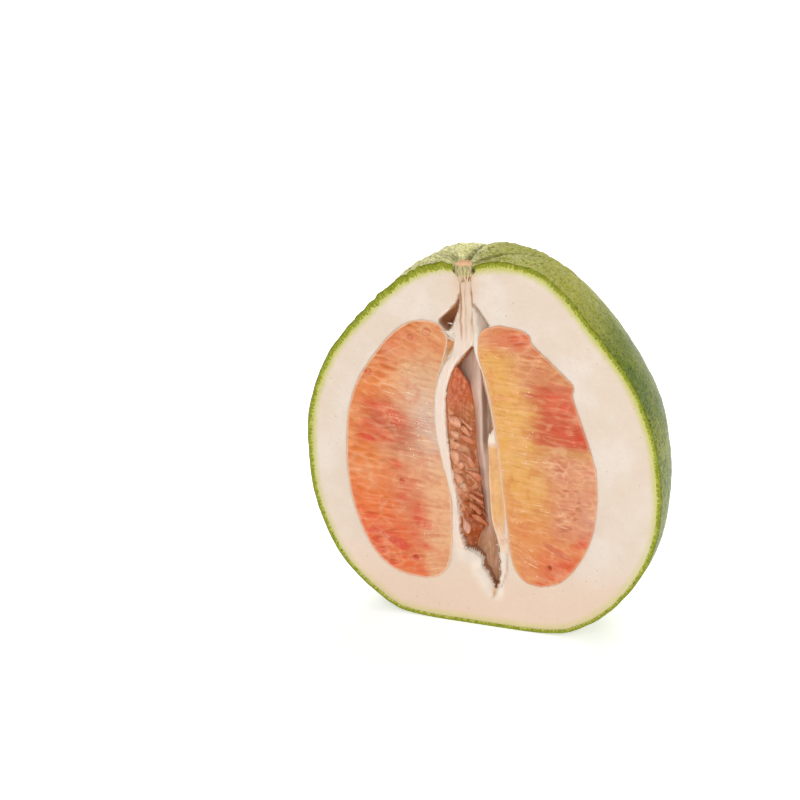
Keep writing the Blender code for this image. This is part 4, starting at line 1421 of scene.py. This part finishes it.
# %% The column and the thick wall
COLUMN = (  # left edge (x, z) and right edge (x, z) from the stalk down
    (-9.3, 151, -4.4, 151), (-9.6, 145.7, -4.1, 145.7), (-9.6, 140, -3.7, 139.5), (-9.9, 135.5, -3.5, 134),
    (-11.2, 131, -3.3, 129.5), (-12.4, 126.3, -3.3, 125.5), (-11.9, 121, -3.8, 121), (-13, 115, -6.4, 117.2),
    (-15.8, 110.6, -9.8, 113.4), (-18.1, 105.6, -12.6, 108), (-19.8, 98, -14.9, 101), (-20.3, 91, -15.6, 91.5),
    (-19.6, 81, -15.1, 80.5), (-17.5, 71, -13.6, 70.8), (-14.9, 61.5, -12.2, 61.5), (-12.7, 52.3, -10.5, 52.3),
    (-12.6, 45, -9.8, 46), (-12.7, 38, -9, 38), (-12.9, 32, -7.6, 32),
)
STRANDS = (  # (height, x) down each brown strand, and its strength
    (((150, -8.6), (141.2, -9.1), (135.8, -8.8), (129.3, -9), (119, -8.6)), 1),
    (((150, -4.9), (145.7, -4.5), (139.3, -4.1), (133.4, -3.9), (124, -4), (119, -4.6)), 1),
    (((150, -6.4), (140, -7.3), (130, -6.6), (120, -7)), 0.35),
)


def column(across, along, back):
    line = curve_through(COLUMN)(along)
    flat = between(line[:, :2], line[:, 2:], across)
    ragged = join(20 * across, 0, flat[:, 1])
    edge = np.abs(2 * across - 1) ** 3
    flat[:, 0] += 0.32 * edge * soft_noise(ragged, 1.1, 91) * ease(0.3, 0.45, along)
    strands = join(flat[:, 0], 0, flat[:, 1] * 0.12)
    round_off = np.sqrt(np.clip(1 - (2 * across - 1) ** 6, 0, 1))
    height = 0.45 + 0.75 * ease(0.22, 0.36, along)
    y = (
        0.4 - height * round_off - 0.22 * np.abs(soft_noise(strands, 0.8, 92))
        - 0.5 * bell(across - 0.94, 0.05) * bell(along - 0.27, 0.08)
    )
    y = y + 0.9 * ease(0.95, 1, along)
    return join(flat[:, 0], y + back * (5.5 + 3 * (1 - along)), flat[:, 1])


shape, across, along, points = slab(36, 420, column)
x, z = points[:, 0], points[:, 2]
tint = coats((236, 216, 200), ((226, 206, 186), ease(118, 130, z)))
for course, strength in STRANDS:
    at_z, at_x = np.array(course)[::-1].T
    away = x - np.interp(z, at_z, at_x) - 0.25 * soft_noise(join(0, 0, z), 2.5, 93)
    fading = ease(119, 128, z) * (0.65 + 0.35 * ease(136, 146, z))
    tint = coats(
        tint,
        ((230, 184, 136), 0.7 * strength * fading * bell(away, 1.1)),
        ((150, 78, 30), 1.3 * strength * fading * bell(away, 0.42)),
    )
tint = coats(
    tint,
    # painted highlight on the raised lip of the column's right edge
    ((250, 236, 214), 0.8 * bell(across - 0.93, 0.06) * bell(along - 0.28, 0.1)),
    ((236, 206, 186), 0.7 * ease(0.25, 0, across) * ease(112, 100, z)),
    ((214, 188, 164), 0.8 * ease(138, 148, z)),
)
finish(shape, "column", "core", membrane.material, {"tint": tint})

# %% The sliver of a third segment
SLIVER_LEFT = curve_through((
    (9.6, 27), (7.6, 34), (6, 39.5), (4.3, 45), (3.5, 52), (3.1, 58.4), (2.6, 65.5), (2.8, 70), (2.4, 78.5),
    (3, 83),
))
SLIVER_RIGHT = curve_through((
    (11.4, 27), (11.4, 33), (11.4, 38.7), (10.75, 45.8), (9.85, 54), (9.1, 60), (8.5, 67), (7.6, 74), (5.9, 81),
    (5.3, 85),
))


def sliver(across, along, back):
    left, right = SLIVER_LEFT(along), SLIVER_RIGHT(along)
    flat = between(left, right, across)
    flat[:, 1] += ease(0.92, 1, along) * 1.2 * soft_noise(join(flat[:, 0], 0), 0.9, 94)
    wave = join(flat[:, 0], 0, flat[:, 1])
    round_off = np.sqrt(np.clip(1 - (2 * across - 1) ** 4, 0, 1))
    y = 0.5 - 0.7 * round_off - 0.22 * soft_noise(wave * (0.4, 1, 1), 3.5, 95) + back * (4 * round_off + 0.4)
    y = y + 1.1 * ease(0.14, 0, along)
    return join(flat[:, 0], y, flat[:, 1])


shape, across, _, points = slab(20, 220, sliver)
z = points[:, 2]
tint = coats(
    (230, 178, 112),
    ((246, 216, 180), 0.9 * ease(0.22, 0, across) + 0.4 * ease(0.75, 1, across)),
    ((240, 226, 210), ease(76.5, 80.5, z + soft_noise(points, 1.6, 96)) + 0.75 * ease(50, 34, z)),
)
fibre = join(points[:, 2], across * 3, 0)
finish(
    shape, "sliver", "pulp_sliver", pulp.material,
    {"tint": tint, "fibre": fibre, "plain": 0.15 + 0 * across},
)

# %% [markdown]
# ## Torn fibres
#
# Pith that was torn instead of cut ends in soft white fibres. They fringe the ledge under the open middle,
# the rags between the left segment and the column, and the wall's rough edge. Each is a small bent cone.

# %% Torn fibres
FRINGES = (  # a line of roots (x, z), how many, which way they point (x, z), how long, and how deep they sit
    (((-9, 34.5), (-7.9, 31.5), (-4, 30.6), (-0.8, 28.6), (-0.4, 25.2)), 80, (0.35, 0.9), 1.5, 1.8),
    (((-0.4, 25.2), (1.8, 22.2), (3.4, 19)), 24, (0.8, 0.5), 0.9, 1.6),
    (((-17, 124.6), (-14.5, 122.5), (-12.2, 120.8)), 26, (0.9, -0.1), 2.2, 0),
    (((-12.9, 128), (-12.2, 124), (-11.6, 120.5)), 22, (-0.8, -0.3), 1.6, 0.3),
    (((-15.3, 84), (-13.7, 71), (-12.2, 61), (-10.6, 52), (-9.8, 45), (-8.9, 38)), 60, (0.9, -0.2), 0.8, 0.4),
    (((7.9, 24), (7.5, 30), (6.6, 36)), 26, (-0.9, 0.2), 0.9, 0.8),
)
chance = np.random.default_rng(97)
shape = bmesh.new()
for course, number, (to_x, to_z), long, deep in FRINGES:
    for at_x, at_z in curve_through(course)(np.sort(chance.uniform(0, 1, number))):
        made = bmesh.ops.create_cone(
            shape, cap_ends=True, cap_tris=True, segments=6, radius1=chance.uniform(0.22, 0.42), radius2=0.05,
            depth=1,
        )["verts"]
        swerve = [chance.uniform(-0.5, most) for most in (0.5, 0.3, 0.5)]
        way = unit(np.array([to_x, 0, to_z]) + swerve)
        aside = unit(np.cross(way, (0.3, 1, 0.2)))
        up = np.cross(aside, way)
        length = long * chance.uniform(0.5, 1.3)
        root = np.array([at_x, deep + chance.uniform(-0.5, 0.7), at_z]) - 0.25 * way
        for vertex in made:
            t = vertex.co.z + 0.5
            vertex.co = (
                root + way * length * t + aside * vertex.co.x + up * (vertex.co.y + 0.3 * length * t * t)
            )
face_outwards(shape)
tint = np.tile(np.array(colour(240, 222, 204)), (len(shape.verts), 1))
finish(shape, "torn_fibres", "pith", membrane.material, {"tint": tint})

# %% [markdown]
# ## The stalk
#
# The cut stalk is a short ribbed barrel with a tan rim, grey-green sides cracked lengthwise, and a narrow
# foot. It is turned from one profile, and the cracks are pressed in by a formula.

# %% Stalk
STALK = (
    (0, 4.9), (2.2, 5), (3.1, 5.6), (3.5, 5), (3.8, 4), (4.2, 3), (4.3, 2), (3.9, 0.9), (3.2, 0), (2.8, -1.2),
    (2.4, -2.4), (0, -2.6),
)
STALK_FOOT = 77.2  # from the fruit's middle, along its axis
foot_axis = TURN @ np.array([0, 0, 1])
foot = MIDDLE + foot_axis * STALK_FOOT
print("foot of the stalk:", np.round(foot, 1))
shape = bmesh.new()
bmesh.ops.create_uvsphere(shape, u_segments=120, v_segments=70, radius=1)
ball_points = take_points(shape)
turn_angle = np.arctan2(ball_points[:, 1], ball_points[:, 0])
share = np.arccos(np.clip(ball_points[:, 2], -1, 1)) / math.pi
profile = curve_through(STALK)(share)
radius, height = profile[:, 0], profile[:, 1]
around = join(4 * np.cos(turn_angle), 4 * np.sin(turn_angle), height * 0.35)
cracks = np.abs(soft_noise(around, 1.1, 100))
on_side = ease(2.4, 3.4, radius)
radius = radius + on_side * (0.22 * np.sin(11 * turn_angle) + 0.5 * cracks - 0.3)
radius += 0.5 * ease(3.2, 2, height) * ease(0.4, 1.6, height) * np.maximum(np.cos(5 * turn_angle + 0.5), 0)
height = height + 0.35 * soft_noise(around, 1.6, 101) * ease(4.2, 5.4, height)
side_x, side_y = radius * np.cos(turn_angle), radius * np.sin(turn_angle)
side_y = np.where(side_y < 0, 0.4 * side_y, side_y)
put_points(shape, join(side_x, side_y, height) @ TURN.T + foot)
face_outwards(shape)
# at_sides marks the stalk's left and right flanks, painted dark as shade in the gaps beside the stalk.
at_sides = ease(0.72, 0.92, np.abs(side_x) / 4.3) * bell(height - 2.2, 1.6)
stalk_heights = (take_points(shape) - foot) @ foot_axis

bark = Surface("stalk_bark", Roughness=0.7, Specular_IOR_Level=0.3)
at = bark.place()
ribs = bark.noise(bark.stretch(at, 1.6, 1.6, 0.25), 1, 4, 0.65)
crumbs = bark.noise(at, 0.7)
up = bark.math("ADD", bark.attribute("height"), bark.times(bark.math("SUBTRACT", crumbs, 0.5), 1.6))
foot_lines = bark.times(bark.ramp(up, 1.6, 0.2), bark.ramp(ribs, 0.5, 0.42))
wood = bark.coats(
    (148, 140, 86),
    (bark.ramp(ribs, 0.35, 0.65), (214, 200, 150)),
    (bark.ramp(up, 4.3, 5), (238, 192, 150)),
    (bark.ramp(up, 1.2, -1, 0, 0.9), (222, 196, 166)),
    (foot_lines, (150, 84, 42)),
    # painted shade on the flanks
    (bark.attribute("at_sides"), (70, 56, 24)),
    (bark.ramp(crumbs, 0.62, 0.75, 0, 0.6), (236, 216, 186)),
)
bark.set(bark.shader, Base_Color=wood, Normal=bark.bump(ribs, 0.5, 0.8))
finish(shape, "stalk", "stem", bark.material, {"height": stalk_heights, "at_sides": at_sides})
